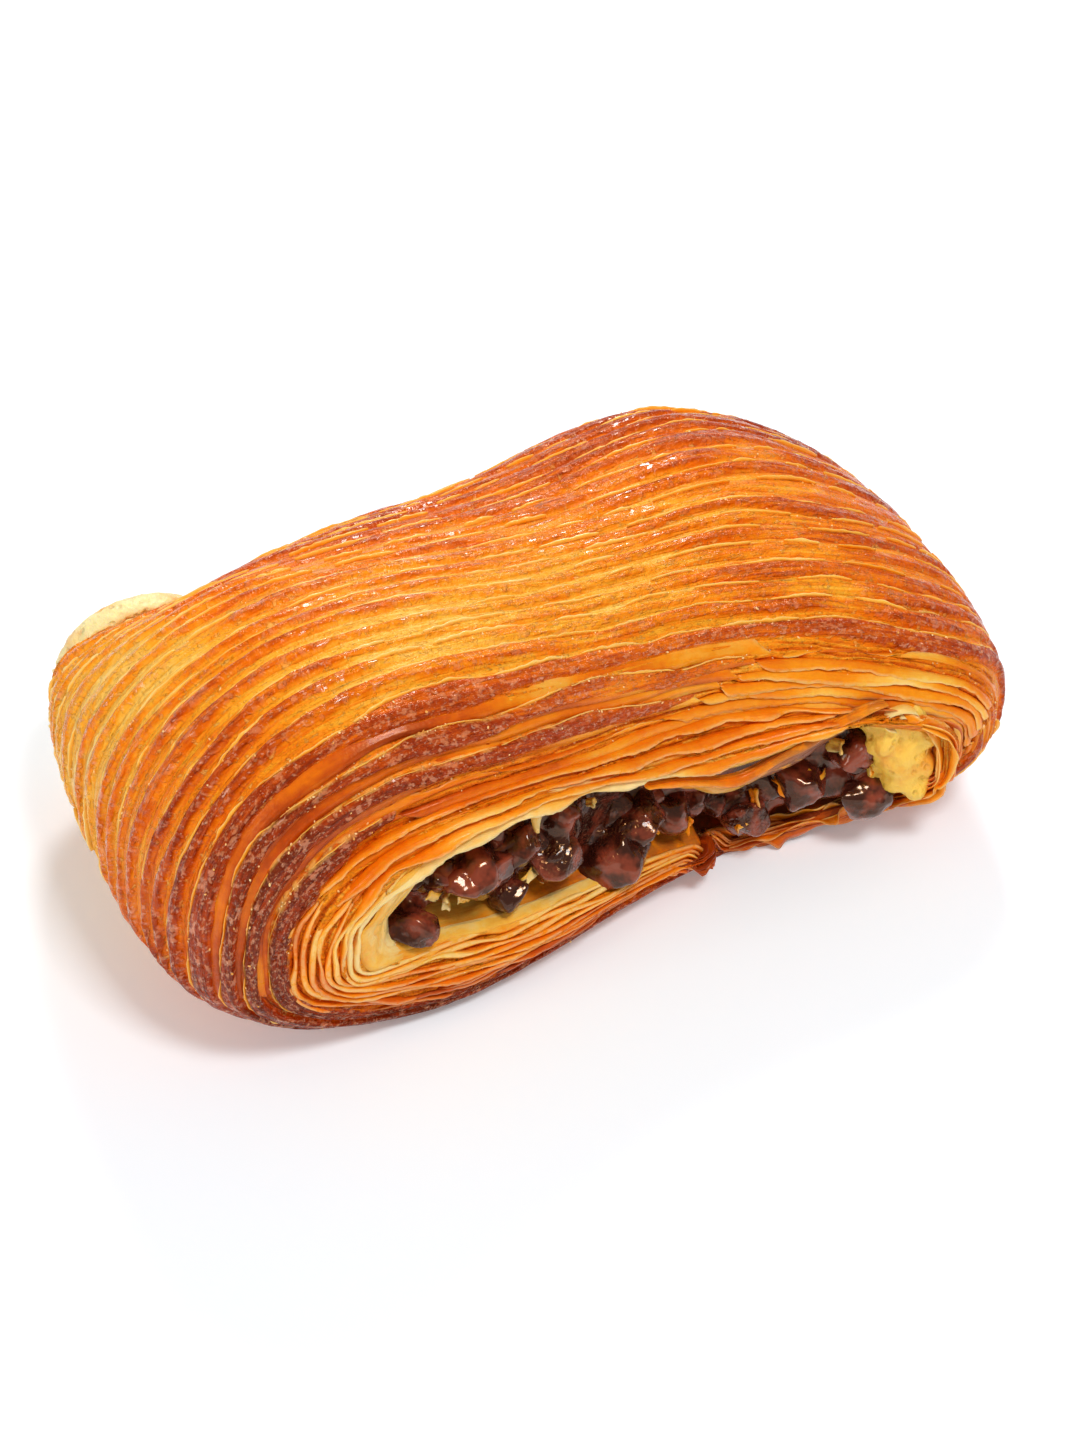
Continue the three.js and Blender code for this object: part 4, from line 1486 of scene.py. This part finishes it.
@dataclass
class OpeningSheets:
    """The thin inner sheets round the front opening, a hanging flap and loose curls."""

    layout: Layout
    finish: "SheetFinish"
    seed: int = 4
    flap_top: tuple[tuple[float, float, float], ...] = (
        (3, 29, -1.2), (9, 26.6, -1.2), (19.7, 22.6, -1.2), (29, 26.4, -1.3), (35, 30, -1.2),
        (39.5, 31.6, -0.8), (42, 31.6, -0.3),
    )
    flap_foot: tuple[tuple[float, float, float], ...] = (
        (7, 25.0, 0.4), (12.6, 20.9, 0.6), (20.7, 17.4, 0.3), (28.5, 20, 0.2), (35.4, 25.0, 0),
        (39.4, 28.6, -0.4), (42.2, 31.0, -0.3),
    )  # both lines: x, z and mm behind the face
    flap_sheets: tuple[tuple[float, float, float], ...] = (
        (1.0, 0.3, 0.22), (0.66, 0.8, 0.30), (0.36, 1.2, 0.34),
    )  # share of the drop, mm in front, browning
    # The last two lips, on the lower side, have higher browning as painted shade where they face down.
    lips: tuple[tuple[float, float, float, float, float], ...] = (
        (60, 226, 1.06, 0.45, 0.04), (72, 212, 0.68, 0.85, 0.0), (88, 200, 0.36, 1.15, -0.04),
        (186, 264, 3.2, 0.35, 0.18), (196, 276, 1.8, 0.7, 0.12),
    )  # first and last turn, part of the lip's width, mm raised, browning
    curls: tuple[tuple[float, float, float, float, float], ...] = (
        (-31, 22.6, 2.0, 2.6, 0.10), (-28.6, 20.4, 2.2, 3.2, 0.02), (-26.0, 19.4, 2.0, 3.0, 0.05),
        (-22.4, 21.0, 2.4, 2.6, 0.12), (-15.2, 18.6, 2.4, 2.8, 0.02), (-12.4, 17.0, 2.2, 3.4, 0.05),
        (-3.8, 25.4, 3.2, 2.2, 0.05), (6.8, 14.8, 1.4, 2.2, 0.30), (13.4, 12.6, 1.2, 2.6, 0.35),
        (2.6, 17.6, 2.0, 1.8, 0.20), (22.8, 8.4, 1.6, 2.6, 0.35), (37.2, 20.6, 2.6, 3.6, 0.05),
        (40.2, 18.6, 2.4, 2.8, 0.10), (34.6, 15.2, 3.0, 3.6, 0.12), (42.4, 15.2, 2.2, 2.0, 0.25),
        (30.0, 13.4, 3.0, 3.4, 0.30), (26.0, 11.6, 3.2, 2.6, 0.40),
    )  # x, z, mm behind the face, length, browning

    def build(self) -> bpy.types.Object:
        """Make all thin sheets of the opening as one piece.

        Returns:
            The finished piece.
        """
        sheets = SheetMesh()
        self.add_lips(sheets)
        self.add_flap(sheets)
        self.add_block_rings(sheets)
        self.add_loose_end(sheets)
        self.add_shred(sheets)
        self.add_bed(sheets)
        random = np.random.default_rng(self.seed)
        for x, z, behind, size, brown in self.curls:
            at = np.array([x, self.layout.form.front_face(x) + behind, z])
            self.add_curl(sheets, random, at, size, brown)
        return sheets.piece("opening_sheets", self.finish, 0.05)

    def add_lips(self, sheets: SheetMesh) -> None:
        """Add the broad cream sheets that curve into the opening at the top and left.

        Args:
            sheets: Mesh that gathers the sheets.
        """
        form = self.layout.form
        for number, (start, end, part, lift, brown) in enumerate(self.lips):
            turn = self.layout.even_turns(start, end, 0.6)
            flow = self.layout.flow(turn, 0.0)
            ends = tapered(len(turn), 0.05, 0.5)
            width = part * np.minimum(self.layout.lip_share(turn), 0.34 if part < 1.2 else 0.07)
            width = width * (1 + 0.12 * round_ripple(500 + number, 22, flow))
            rows = []
            for share in np.linspace(0, 1, 8):
                point = form.front_point(turn, np.clip(width * (1 - share) - 0.03 * share, -0.03, 1))
                raised = lift * (0.3 + np.sin(np.pi * min(share * 1.1, 1)))
                raised = raised + 0.16 * ripple(520 + number, 11, flow[..., 0], flow[..., 1] + 4 * share)
                rows.append(point - np.stack([0 * raised, raised * ends, 0 * raised], -1))
            sheets.add(np.stack(rows, 1), 0.32, brown)

    def between(self, top: Sequence, foot: Sequence, steps: int, rows: int) -> Array:
        """Grid of points between two lines given as x, z and mm behind the face."""
        lines = []
        for line in (top, foot):
            places = np.array(line, float)
            spots = np.linspace(0, 1, len(places))
            fine = np.linspace(0, 1, steps)
            x, z, behind = (curve_height(tuple(zip(spots, column)), fine) for column in places.T)
            lines.append(np.stack([x, self.layout.form.front_face(x) + behind, z], -1))
        share = np.linspace(0, 1, rows)[None, :, None]
        return blend(lines[0][:, None], lines[1][:, None], share)

    def add_flap(self, sheets: SheetMesh) -> None:
        """Add the sheets that hang in front of the filling on the right, stained by chocolate."""
        for number, (drop, lift, brown) in enumerate(self.flap_sheets):
            middle = self.between(self.flap_top, self.flap_foot, 120, 10)
            middle = middle[:, :1] + (middle - middle[:, :1]) * drop
            x = middle[..., 0]
            share = np.linspace(0, 1, 10)[None, :]
            wave = ripple(540 + number, 14, x, middle[..., 2]) * 0.35 * share
            hang = 0.8 * np.sin(np.pi * share)
            middle[..., 1] -= lift + hang + wave
            middle[..., 2] += 0.2 * ripple(550 + number, 7, x) * share
            stain = (1.2 - 0.3 * number) * bell(x[:, 0], 31, 11)
            sheets.add(middle, 0.24, brown, stain)

    def add_block_rings(self, sheets: SheetMesh) -> None:
        """Add the thin sheets that curl round the custard block, and its small swirl.

        Args:
            sheets: Mesh that gathers the sheets.
        """
        form = self.layout.form
        for number, out in enumerate((0.02, 0.2, 0.45)):
            turn = self.layout.even_turns(-52, 46 - 8 * number, 0.5)
            flow = self.layout.flow(turn, 0.0)
            spread = out + 0.05 * round_ripple(560 + number, 20, flow)
            point, normal, rimward = self.layout.face_frame(turn, np.clip(spread, 0.01, 0.95), True)
            ends = tapered(len(turn), 0.1, 0.6)
            uneven = 0.15 * round_ripple(570 + number, 9, flow)
            height = (1.6 - 0.3 * number) * ends + uneven
            lean = rimward * (0.5 - 0.3 * round_ripple(580 + number, 14, flow))[:, None]
            middle = stand(point, normal, lean, height, (-1.2, 0, 0.5, 1))
            sheets.add(middle, 0.3, 0.20 + 0.07 * number)
        angle = np.linspace(0.4, 3.4 * np.pi, 70)
        radius = 0.35 + 2.3 * angle / angle[-1]
        x, z = 45.0 + radius * np.cos(angle) * 1.25, 27.8 + radius * np.sin(angle) * 0.8
        face = form.front_face(x)
        rows = [np.stack([x, face + behind, z + 0.15 * behind], -1) for behind in (1.0, -0.4, -1.8)]
        sheets.add(np.stack(rows, 1), 0.35, 0.04)

    def add_loose_end(self, sheets: SheetMesh) -> None:
        """Add the thin layers of the loose end under the right part."""
        for number in range(5):
            turn = self.layout.even_turns(288 - 360, 334 - 360, 0.6)
            flow = self.layout.flow(turn, 0.0)
            out = 0.08 + 0.2 * number + 0.06 * round_ripple(600 + number, 12, flow)
            point, normal, rimward = self.layout.face_frame(turn, np.clip(out, 0.02, 0.97), True)
            ends = tapered(len(turn), 0.15, 0.5)
            height = ends * (1.7 + 0.7 * round_ripple(610 + number, 8, flow))
            lean = rimward * (0.3 + 0.4 * round_ripple(620 + number, 10, flow))[:, None]
            middle = stand(point, normal, lean, height, (-1.5, -0.2, 0.5, 1))
            sheets.add(middle, 0.35, 0.40 + 0.08 * number)

    def add_bed(self, sheets: SheetMesh) -> None:
        """Add the moist inner sheet that leads from the opening's edge in under the chips.

        Args:
            sheets: Mesh that gathers the sheets.
        """
        form = self.layout.form
        turn = self.layout.even_turns(-90, 269.2, 0.8)
        low = 1 - smoothstep(np.sin(turn), -0.3, 0.5)
        rows = []
        for share in np.linspace(0, 1, 14):
            x, z = form.opening_edge(form.front_opening, turn, 0)
            smaller = (-0.5 + (1.2 + 2.4 * low) * share) * (1 + 0.1 * ripple(640, 9, x, z + 5 * share))
            x, z = form.opening_edge(form.front_opening, turn, smaller)
            behind = 0.8 + 10.5 * share + self.layout.form.drawn_back * form.loose_end(turn, x)
            rows.append(np.stack([x, form.front_face(x) + behind, z], -1))
        x = rows[0][:, 0]
        brown = 0.16 + 0.18 * smoothstep(x, -30, -8) + 0.26 * smoothstep(x, 15, 19)
        stain = 0.15 + 0.35 * smoothstep(x, -26, -8) + 0.3 * smoothstep(x, 15, 19)
        sheets.add(np.stack(rows, 1), 0.4, brown, stain, closed=True)

    def add_shred(self, sheets: SheetMesh) -> None:
        """Add the curled shred that hangs from the upper lip."""
        face = self.layout.form.front_face
        share = np.linspace(0, 1, 12)
        x = -14.2 - 1.6 * share + 0.8 * share**2
        z = 33.6 - 4.6 * share
        wide = 1.5 * (1 - 0.8 * share)
        rows = [np.stack([x + side * wide, face(x) + 0.4 + 0.5 * side**2 - 0.8 * share, z], -1)
                for side in (-1, -0.35, 0.35, 1)]
        sheets.add(np.stack(rows, 1), 0.3, 0.05, 0.25 * share)

    def add_curl(self, sheets: SheetMesh, random: np.random.Generator,
                 at: Array, size: float, brown: float) -> None:
        """Add one small curled flake with a ragged outline.

        Args:
            sheets: Mesh that gathers the sheets.
            random: Source of its shape and turn.
            at: Its middle, in mm.
            size: Its length, in mm.
            brown: Its browning, 0 to 1.
        """
        a, b = np.meshgrid(np.linspace(-1, 1, 12), np.linspace(-1, 1, 7), indexing="ij")
        draw = int(random.integers(1, 900))
        outline = 1 + 0.3 * ripple(draw, 1.6, a, b)
        bend = random.uniform(0.2, 0.7)
        raised = bend * (1 - a**2) + 0.15 * ripple(draw + 1, 1.5, a, b)
        local = np.stack([a * outline, b * 0.6 * outline, raised], -1)
        axes = unit(random.normal(size=(3, 3)))
        first = axes[0]
        second = unit(np.cross(first, axes[1]))
        third = np.cross(first, second)
        turned = local[..., :1] * first + local[..., 1:2] * second + local[..., 2:] * third
        sheets.add(at + turned * size / 2, 0.3, brown)


@dataclass
class Crumbs:
    """Small blisters and crumbs along the torn edges of the crust."""

    finish: "CrumbFinish"
    density: float = 3.6e6
    crust_density: float = 4.0e4

    def build(self, dough: bpy.types.Object) -> bpy.types.Object:
        """Scatter the crumbs on the finished dough as one piece.

        Args:
            dough: The dough's piece, with its relief and attributes.

        Returns:
            The crumbs as a plain mesh.
        """
        piece = bpy.data.objects.new("crust_crumbs", dough.data.copy())
        piece.data.materials.clear()
        bpy.context.scene.collection.objects.link(piece)
        inputs = {"Edge Density": self.density, "Crust Density": self.crust_density}
        tree = ShapeTree("crumb_scatter", inputs)
        ridges = crust_pattern(tree)
        cut = cut_share(tree)
        lifted = tree.place().parts()[2].smooth(2, 6)
        flow = tree.attribute(Attribute.FLOW)
        patches = tree.noise(flow.scaled(0.06, 0.06, 0.08).moved(9, 9, 9), 2).smooth(0.42, 0.62)
        shown = tree.attribute(Attribute.BAKE).parts()[0].smooth(-9, -8)
        density = tree.input("Edge Density") * ridges.lip * patches * (1 - cut)
        density = (density + tree.input("Crust Density") * (0.4 + 2.5 * cut)) * lifted * shown
        values = {"Mesh": tree.input("Geometry"), "Density": density, "Seed": 7}
        spots = tree.bare("GeometryNodeDistributePointsOnFaces", {}, values)
        ball = tree.node("GeometryNodeMeshIcoSphere", {}, {"Radius": 1 * MM, "Subdivisions": 2})
        spin = tree.node("FunctionNodeRandomValue", {"data_type": "FLOAT_VECTOR"},
                         {0: (-3.1, -3.1, -3.1), 1: (3.1, 3.1, 3.1), "Seed": 3})
        size = tree.node("FunctionNodeRandomValue", {"data_type": "FLOAT_VECTOR"},
                         {0: (0.10, 0.08, 0.06), 1: (0.32, 0.20, 0.16), "Seed": 5})
        values = {"Points": Value(tree, spots.outputs["Points"]), "Instance": ball,
                  "Rotation": spin, "Scale": size}
        grown = tree.node("GeometryNodeInstanceOnPoints", {}, values)
        tree.close(grown)
        return tree.apply(piece, self.finish.material())


# ---------------------------------------------------------------- the filling


def lump_shape(ways: Array, random: np.random.Generator,
               facets: int = 9, sharpness: float = 14) -> Array:
    """Distance from the middle of a rounded, faceted lump along given ways.

    Args:
        ways: Vectors of length 1.
        random: Source of the facets.
        facets: How many flat sides it has.
        sharpness: How sharp the edges between them are.

    Returns:
        Distances, about 1.
    """
    sides = unit(random.normal(size=(facets, 3)))
    sides = np.concatenate([sides, -unit(sides + 0.5 * random.normal(size=sides.shape))])
    far = random.uniform(0.72, 1.05, len(sides))
    pressed = np.maximum(ways @ sides.T, 0) / far
    shape = np.sum(pressed**sharpness, -1) ** (-1 / sharpness)
    dent = unit(random.normal(size=3))
    shape = shape - 0.22 * np.exp(-((np.arccos(np.clip(ways @ dent, -1, 1)) / 0.42) ** 2))
    return np.clip(shape, 0.5, 1.25)


def add_lump(work: bmesh.types.BMesh, random: np.random.Generator, at: Array,
             size: Array, detail: int) -> None:
    """Add one lump, in mm, to a mesh that is being made.

    Args:
        work: Mesh that is being made.
        random: Source of its shape.
        at: Its middle.
        size: Its half sizes.
        detail: How finely it is divided.
    """
    made = bmesh.ops.create_icosphere(work, subdivisions=detail, radius=1)
    ways = unit(np.array([vert.co for vert in made["verts"]]))
    local = ways * lump_shape(ways, random)[:, None] * size
    lean = random.uniform(-0.6, 0.6)
    spin = np.array([[np.cos(lean), 0, np.sin(lean)], [0, 1, 0], [-np.sin(lean), 0, np.cos(lean)]])
    for vert, point in zip(made["verts"], in_metres(local @ spin.T + at)):
        vert.co = point


@dataclass
class Custard:
    """The custard: bed, block at the right end and the swell at the back left."""

    form: PastryForm
    finish: CustardFinish
    voxel: float = 0.7
    relief: float = 0.45
    seed: int = 8
    block_lumps: tuple[tuple[float, float, float, float], ...] = (
        (43.6, 26.4, 2.2, 3.6), (47.2, 25.6, 2.0, 3.8), (44.8, 22.4, 1.4, 3.6), (48.4, 21.6, 1.4, 3.4),
        (45.6, 18.2, 1.0, 3.6), (48.8, 17.0, 1.0, 3.4), (46.8, 14.4, 0.8, 3.4), (49.0, 12.6, 1.0, 3.0),
    )  # x, z, mm behind the face, radius

    def build(self) -> bpy.types.Object:
        """Make the custard from its solid, with an airy front to its block.

        Returns:
            The finished piece.
        """
        piece = copy_of_node("custard_filling", "custard")
        random = np.random.default_rng(self.seed)
        work = bmesh.new()
        work.from_mesh(piece.data)
        for x, z, behind, radius in self.block_lumps:
            at = np.array([x, self.form.front_face(x) + behind, z])
            add_lump(work, random, at, np.array([radius, radius * 0.9, radius]), 4)
        work.to_mesh(piece.data)
        work.free()
        remesh = piece.modifiers.new("even", "REMESH")
        remesh.mode = "VOXEL"
        remesh.voxel_size = self.voxel * MM
        relax = piece.modifiers.new("relax", "SMOOTH")
        relax.iterations = 3
        bake_modifiers(piece)
        tree = ShapeTree("custard_surface", {"Relief": self.relief})
        at = tree.place()
        lumps = tree.noise(at.scaled(0.3, 0.3, 0.3), 3) - 0.5
        holes = tree.cells(at.scaled(0.5, 0.5, 0.5)).smooth(0.1, 0.5) - 1
        height = tree.input("Relief") * (lumps * 1.6 + holes * 1.3) * at.parts()[2].smooth(0.5, 3)
        tree.close(tree.raised(tree.input("Geometry"), height))
        return tree.apply(piece, self.finish.material())


@dataclass
class Chocolate:
    """The chips at both openings, in two rows in front, over a plain dark middle."""

    form: PastryForm
    finish: ChocolateFinish
    front_chips: tuple[tuple[float, float, float, float], ...] = (
        (-34.6, 18.4, 2.5, 6.4), (-29.2, 24.2, 4, 5.8), (-24.1, 23.6, 2.0, 8.6), (-17, 24.8, 3.2, 7.2),
        (-19, 16.6, 2.6, 6.2), (-10.6, 19.2, 2.8, 8.2), (-9, 25, 4.8, 6), (0.4, 13.6, 2.4, 8.6),
        (5.2, 17.4, 2.8, 8.2), (11.6, 14.2, 3.6, 6.8), (16.4, 13.2, 5, 5), (25, 7.8, 4, 7.4),
        (32.6, 13.4, 3.2, 8.2), (42.6, 10.4, 1.8, 7.8), (40.6, 19, 3.2, 6.4),
    )  # x, z, mm behind the face, width
    second_count: int = 18
    second_from: float = -33.5
    second_length: float = 75.5
    second_lower: int = 12
    back_count: int = 15
    back_sizes: tuple[float, float] = (3.0, 3.6)
    edge_steps: int = 90
    voxel: float = 0.9
    relief: float = 0.5
    seed: int = 6

    def build(self) -> bpy.types.Object:
        """Make every chip that shows and the middle of the heap.

        Returns:
            The finished piece.
        """
        core = copy_of_node("chocolate_core", "chocolate_chips")
        remesh = core.modifiers.new("even", "REMESH")
        remesh.mode = "VOXEL"
        remesh.voxel_size = self.voxel * MM
        bake_modifiers(core)
        random = np.random.default_rng(self.seed)
        work = bmesh.new()
        work.from_mesh(core.data)
        bpy.data.objects.remove(core)
        for x, z, behind, width in self.front_chips:
            at = np.array([x, self.form.front_face(x) + behind, z])
            stretch = np.array([1.08, 1.0, 0.95]) + 0.08 * random.normal(size=3)
            add_lump(work, random, at, stretch * width / 1.92, 5)
        for at in self.back_chips(random):
            add_lump(work, random, at, np.full(3, random.uniform(*self.back_sizes)), 4)
        for x, z in self.second_row(random):
            at = np.array([x, self.form.front_face(x) + random.uniform(5.4, 6.8), z])
            add_lump(work, random, at, np.full(3, random.uniform(2.8, 4.0)), 4)
        mesh = bpy.data.meshes.new("chocolate_chips_heap")
        work.to_mesh(mesh)
        work.free()
        piece = bpy.data.objects.new("chocolate_chips_heap", mesh)
        bpy.context.scene.collection.objects.link(piece)
        tree = ShapeTree("chip_surface", {"Relief": self.relief})
        at = tree.place()
        wrinkles = tree.cells(at.scaled(0.4, 0.4, 0.4), "DISTANCE_TO_EDGE").smooth(0, 0.3) - 0.8
        lumps = tree.noise(at.scaled(0.34, 0.34, 0.34), 2) - 0.5
        height = tree.input("Relief") * (0.2 * wrinkles + 1.1 * lumps)
        tree.close(tree.raised(tree.input("Geometry"), height))
        return tree.apply(piece, self.finish.material())

    def back_chips(self, random: np.random.Generator) -> list[Array]:
        """Middles of the chips that show in the back opening."""
        opening = self.form.back_opening
        turns = np.linspace(0, 2 * np.pi, self.edge_steps)
        edge = self.form.opening_edge(opening, turns, 0)[0]
        face = float(np.median(self.form.back_point(turns, np.zeros(self.edge_steps))[..., 1]))
        places = []
        for x in np.linspace(edge.min() + 21, edge.max() - 9, self.back_count):
            low = float(curve_height(opening.lower, np.array(x)))
            high = float(curve_height(opening.upper, np.array(x)))
            z = blend(low + 3.4, max(high - 3.6, low + 3.6), random.random())
            places.append(np.array([x, face - random.uniform(1.9, 3.2), z]))
        return places

    def second_row(self, random: np.random.Generator) -> list[tuple[float, float]]:
        """Places, along and up, of the chips behind the front ones."""
        opening, lower = self.form.front_opening, self.second_lower
        places = []
        for number in range(self.second_count):
            x = self.second_from + self.second_length * (number % lower) / (lower - 1)
            x = x + random.uniform(-1.5, 1.5)
            torn = self.form.lip_drop * smoothstep(x, self.form.tear_from, self.form.tear_to)
            low = curve_height(opening.lower, np.array(x)) - torn + 6.5
            high = curve_height(opening.upper, np.array(x)) - 4.2
            share = 0.15 + 0.35 * random.random() + 0.45 * (number >= lower)
            places.append((x, float(blend(low, max(high, low + 1), share))))
        return places


# ---------------------------------------------------------------- stage


@dataclass
class Stage:
    """Pale floor, soft studio light and the camera."""

    camera_at: tuple[float, float, float] = (-0.15417, -0.33076, 0.33111)
    camera_turn: tuple[float, float, float] = (49.178, 0, -25.381)
    lens: float = 78.19
    floor_half: float = 3.0
    floor_glow: float = 0.165
    world_light: float = 0.36
    lamps: tuple[tuple[str, tuple[float, float, float], float, float], ...] = (
        ("back", (0.30, 0.62, 0.60), 0.20, 4.2),
        ("front", (0.08, -0.40, 0.76), 0.20, 3.5),
        ("left", (-0.75, -0.15, 0.42), 0.3, 1.7),
    )  # name, place and size in metres, watts

    def build(self) -> None:
        """Set up everything that isn't the object."""
        self.floor()
        self.light()
        self.camera()

    def floor(self) -> None:
        """A wide white floor."""
        half = self.floor_half
        corners = [(-half, -half, 0), (half, -half, 0), (half, half, 0), (-half, half, 0)]
        floor = new_piece("floor", corners, [(0, 1, 2, 3)])
        tree = ShaderTree("white_floor")
        cloud = tree.noise(tree.place().scaled(0.01, 0.01, 0.01), 1)
        colour = tree.tint(cloud, (0.86, 0.90, 0.94), (0.89, 0.93, 0.97))
        floor.data.materials.append(tree.finish(**{
            "Base Color": colour,
            "Roughness": 0.9,
            "Emission Color": (1, 1, 1, 1),
            "Emission Strength": self.floor_glow,
        }))

    def light(self) -> None:
        """White surroundings and three soft lamps."""
        world = bpy.data.worlds.new("surroundings")
        world.use_nodes = True
        world.node_tree.nodes["Background"].inputs[0].default_value = (1, 1, 1, 1)
        world.node_tree.nodes["Background"].inputs[1].default_value = self.world_light
        bpy.context.scene.world = world
        for name, at, size, power in self.lamps:
            self.lamp(name, at, size, power)

    def lamp(self, name: str, at: tuple[float, float, float], size: float, power: float) -> None:
        """A square soft lamp that looks at the pastry."""
        data = bpy.data.lights.new(name, "AREA")
        data.size = size
        data.energy = power
        lamp = bpy.data.objects.new(name, data)
        bpy.context.scene.collection.objects.link(lamp)
        lamp.location = at
        distance = math.hypot(at[0], at[1])
        lamp.rotation_euler = (math.atan2(distance, at[2]), 0, math.atan2(at[1], at[0]) + math.pi / 2)

    def camera(self) -> None:
        """The camera at the photograph's viewing angle."""
        data = bpy.data.cameras.new("camera")
        data.lens = self.lens
        data.sensor_width = 36
        data.clip_start = 0.01
        camera = bpy.data.objects.new("camera", data)
        bpy.context.scene.collection.objects.link(camera)
        camera.location = self.camera_at
        camera.rotation_euler = [math.radians(angle) for angle in self.camera_turn]
        bpy.context.scene.camera = camera
        bpy.context.scene.view_settings.view_transform = "Standard"


# ---------------------------------------------------------------- putting it together


def place(piece: bpy.types.Object, slot: str, *nodes: str) -> None:
    """Fix a piece to the pastry, hide the solids it stands for and log its faces."""
    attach(piece, BODY)
    if nodes:
        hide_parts(*nodes)
    LOG.info("%s: %d faces", piece.name, len(piece.data.polygons))


def main() -> None:
    """Build the pastry and its stage."""
    logging.basicConfig(level=logging.INFO, format="%(message)s")
    layout = Layout(PastryForm())
    dough = Dough(layout, DoughFinish()).build()
    place(dough, "dough", "dough")
    place(CutLayers(layout, SheetFinish("cut_dough")).build(), "dough")
    place(BackLayers(layout, SheetFinish("back_dough")).build(), "dough")
    place(RidgeFringes(layout, SheetFinish("torn_dough")).build(), "dough")
    place(OpeningSheets(layout, SheetFinish("thin_dough")).build(), "dough")
    place(Crumbs(CrumbFinish()).build(dough), "dough")
    place(Custard(layout.form, CustardFinish()).build(), "custard", "custard")
    place(Chocolate(layout.form, ChocolateFinish()).build(), "chocolate", "chocolate_chips")
    Stage().build()
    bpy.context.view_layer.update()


if __name__ == "__main__":
    main()
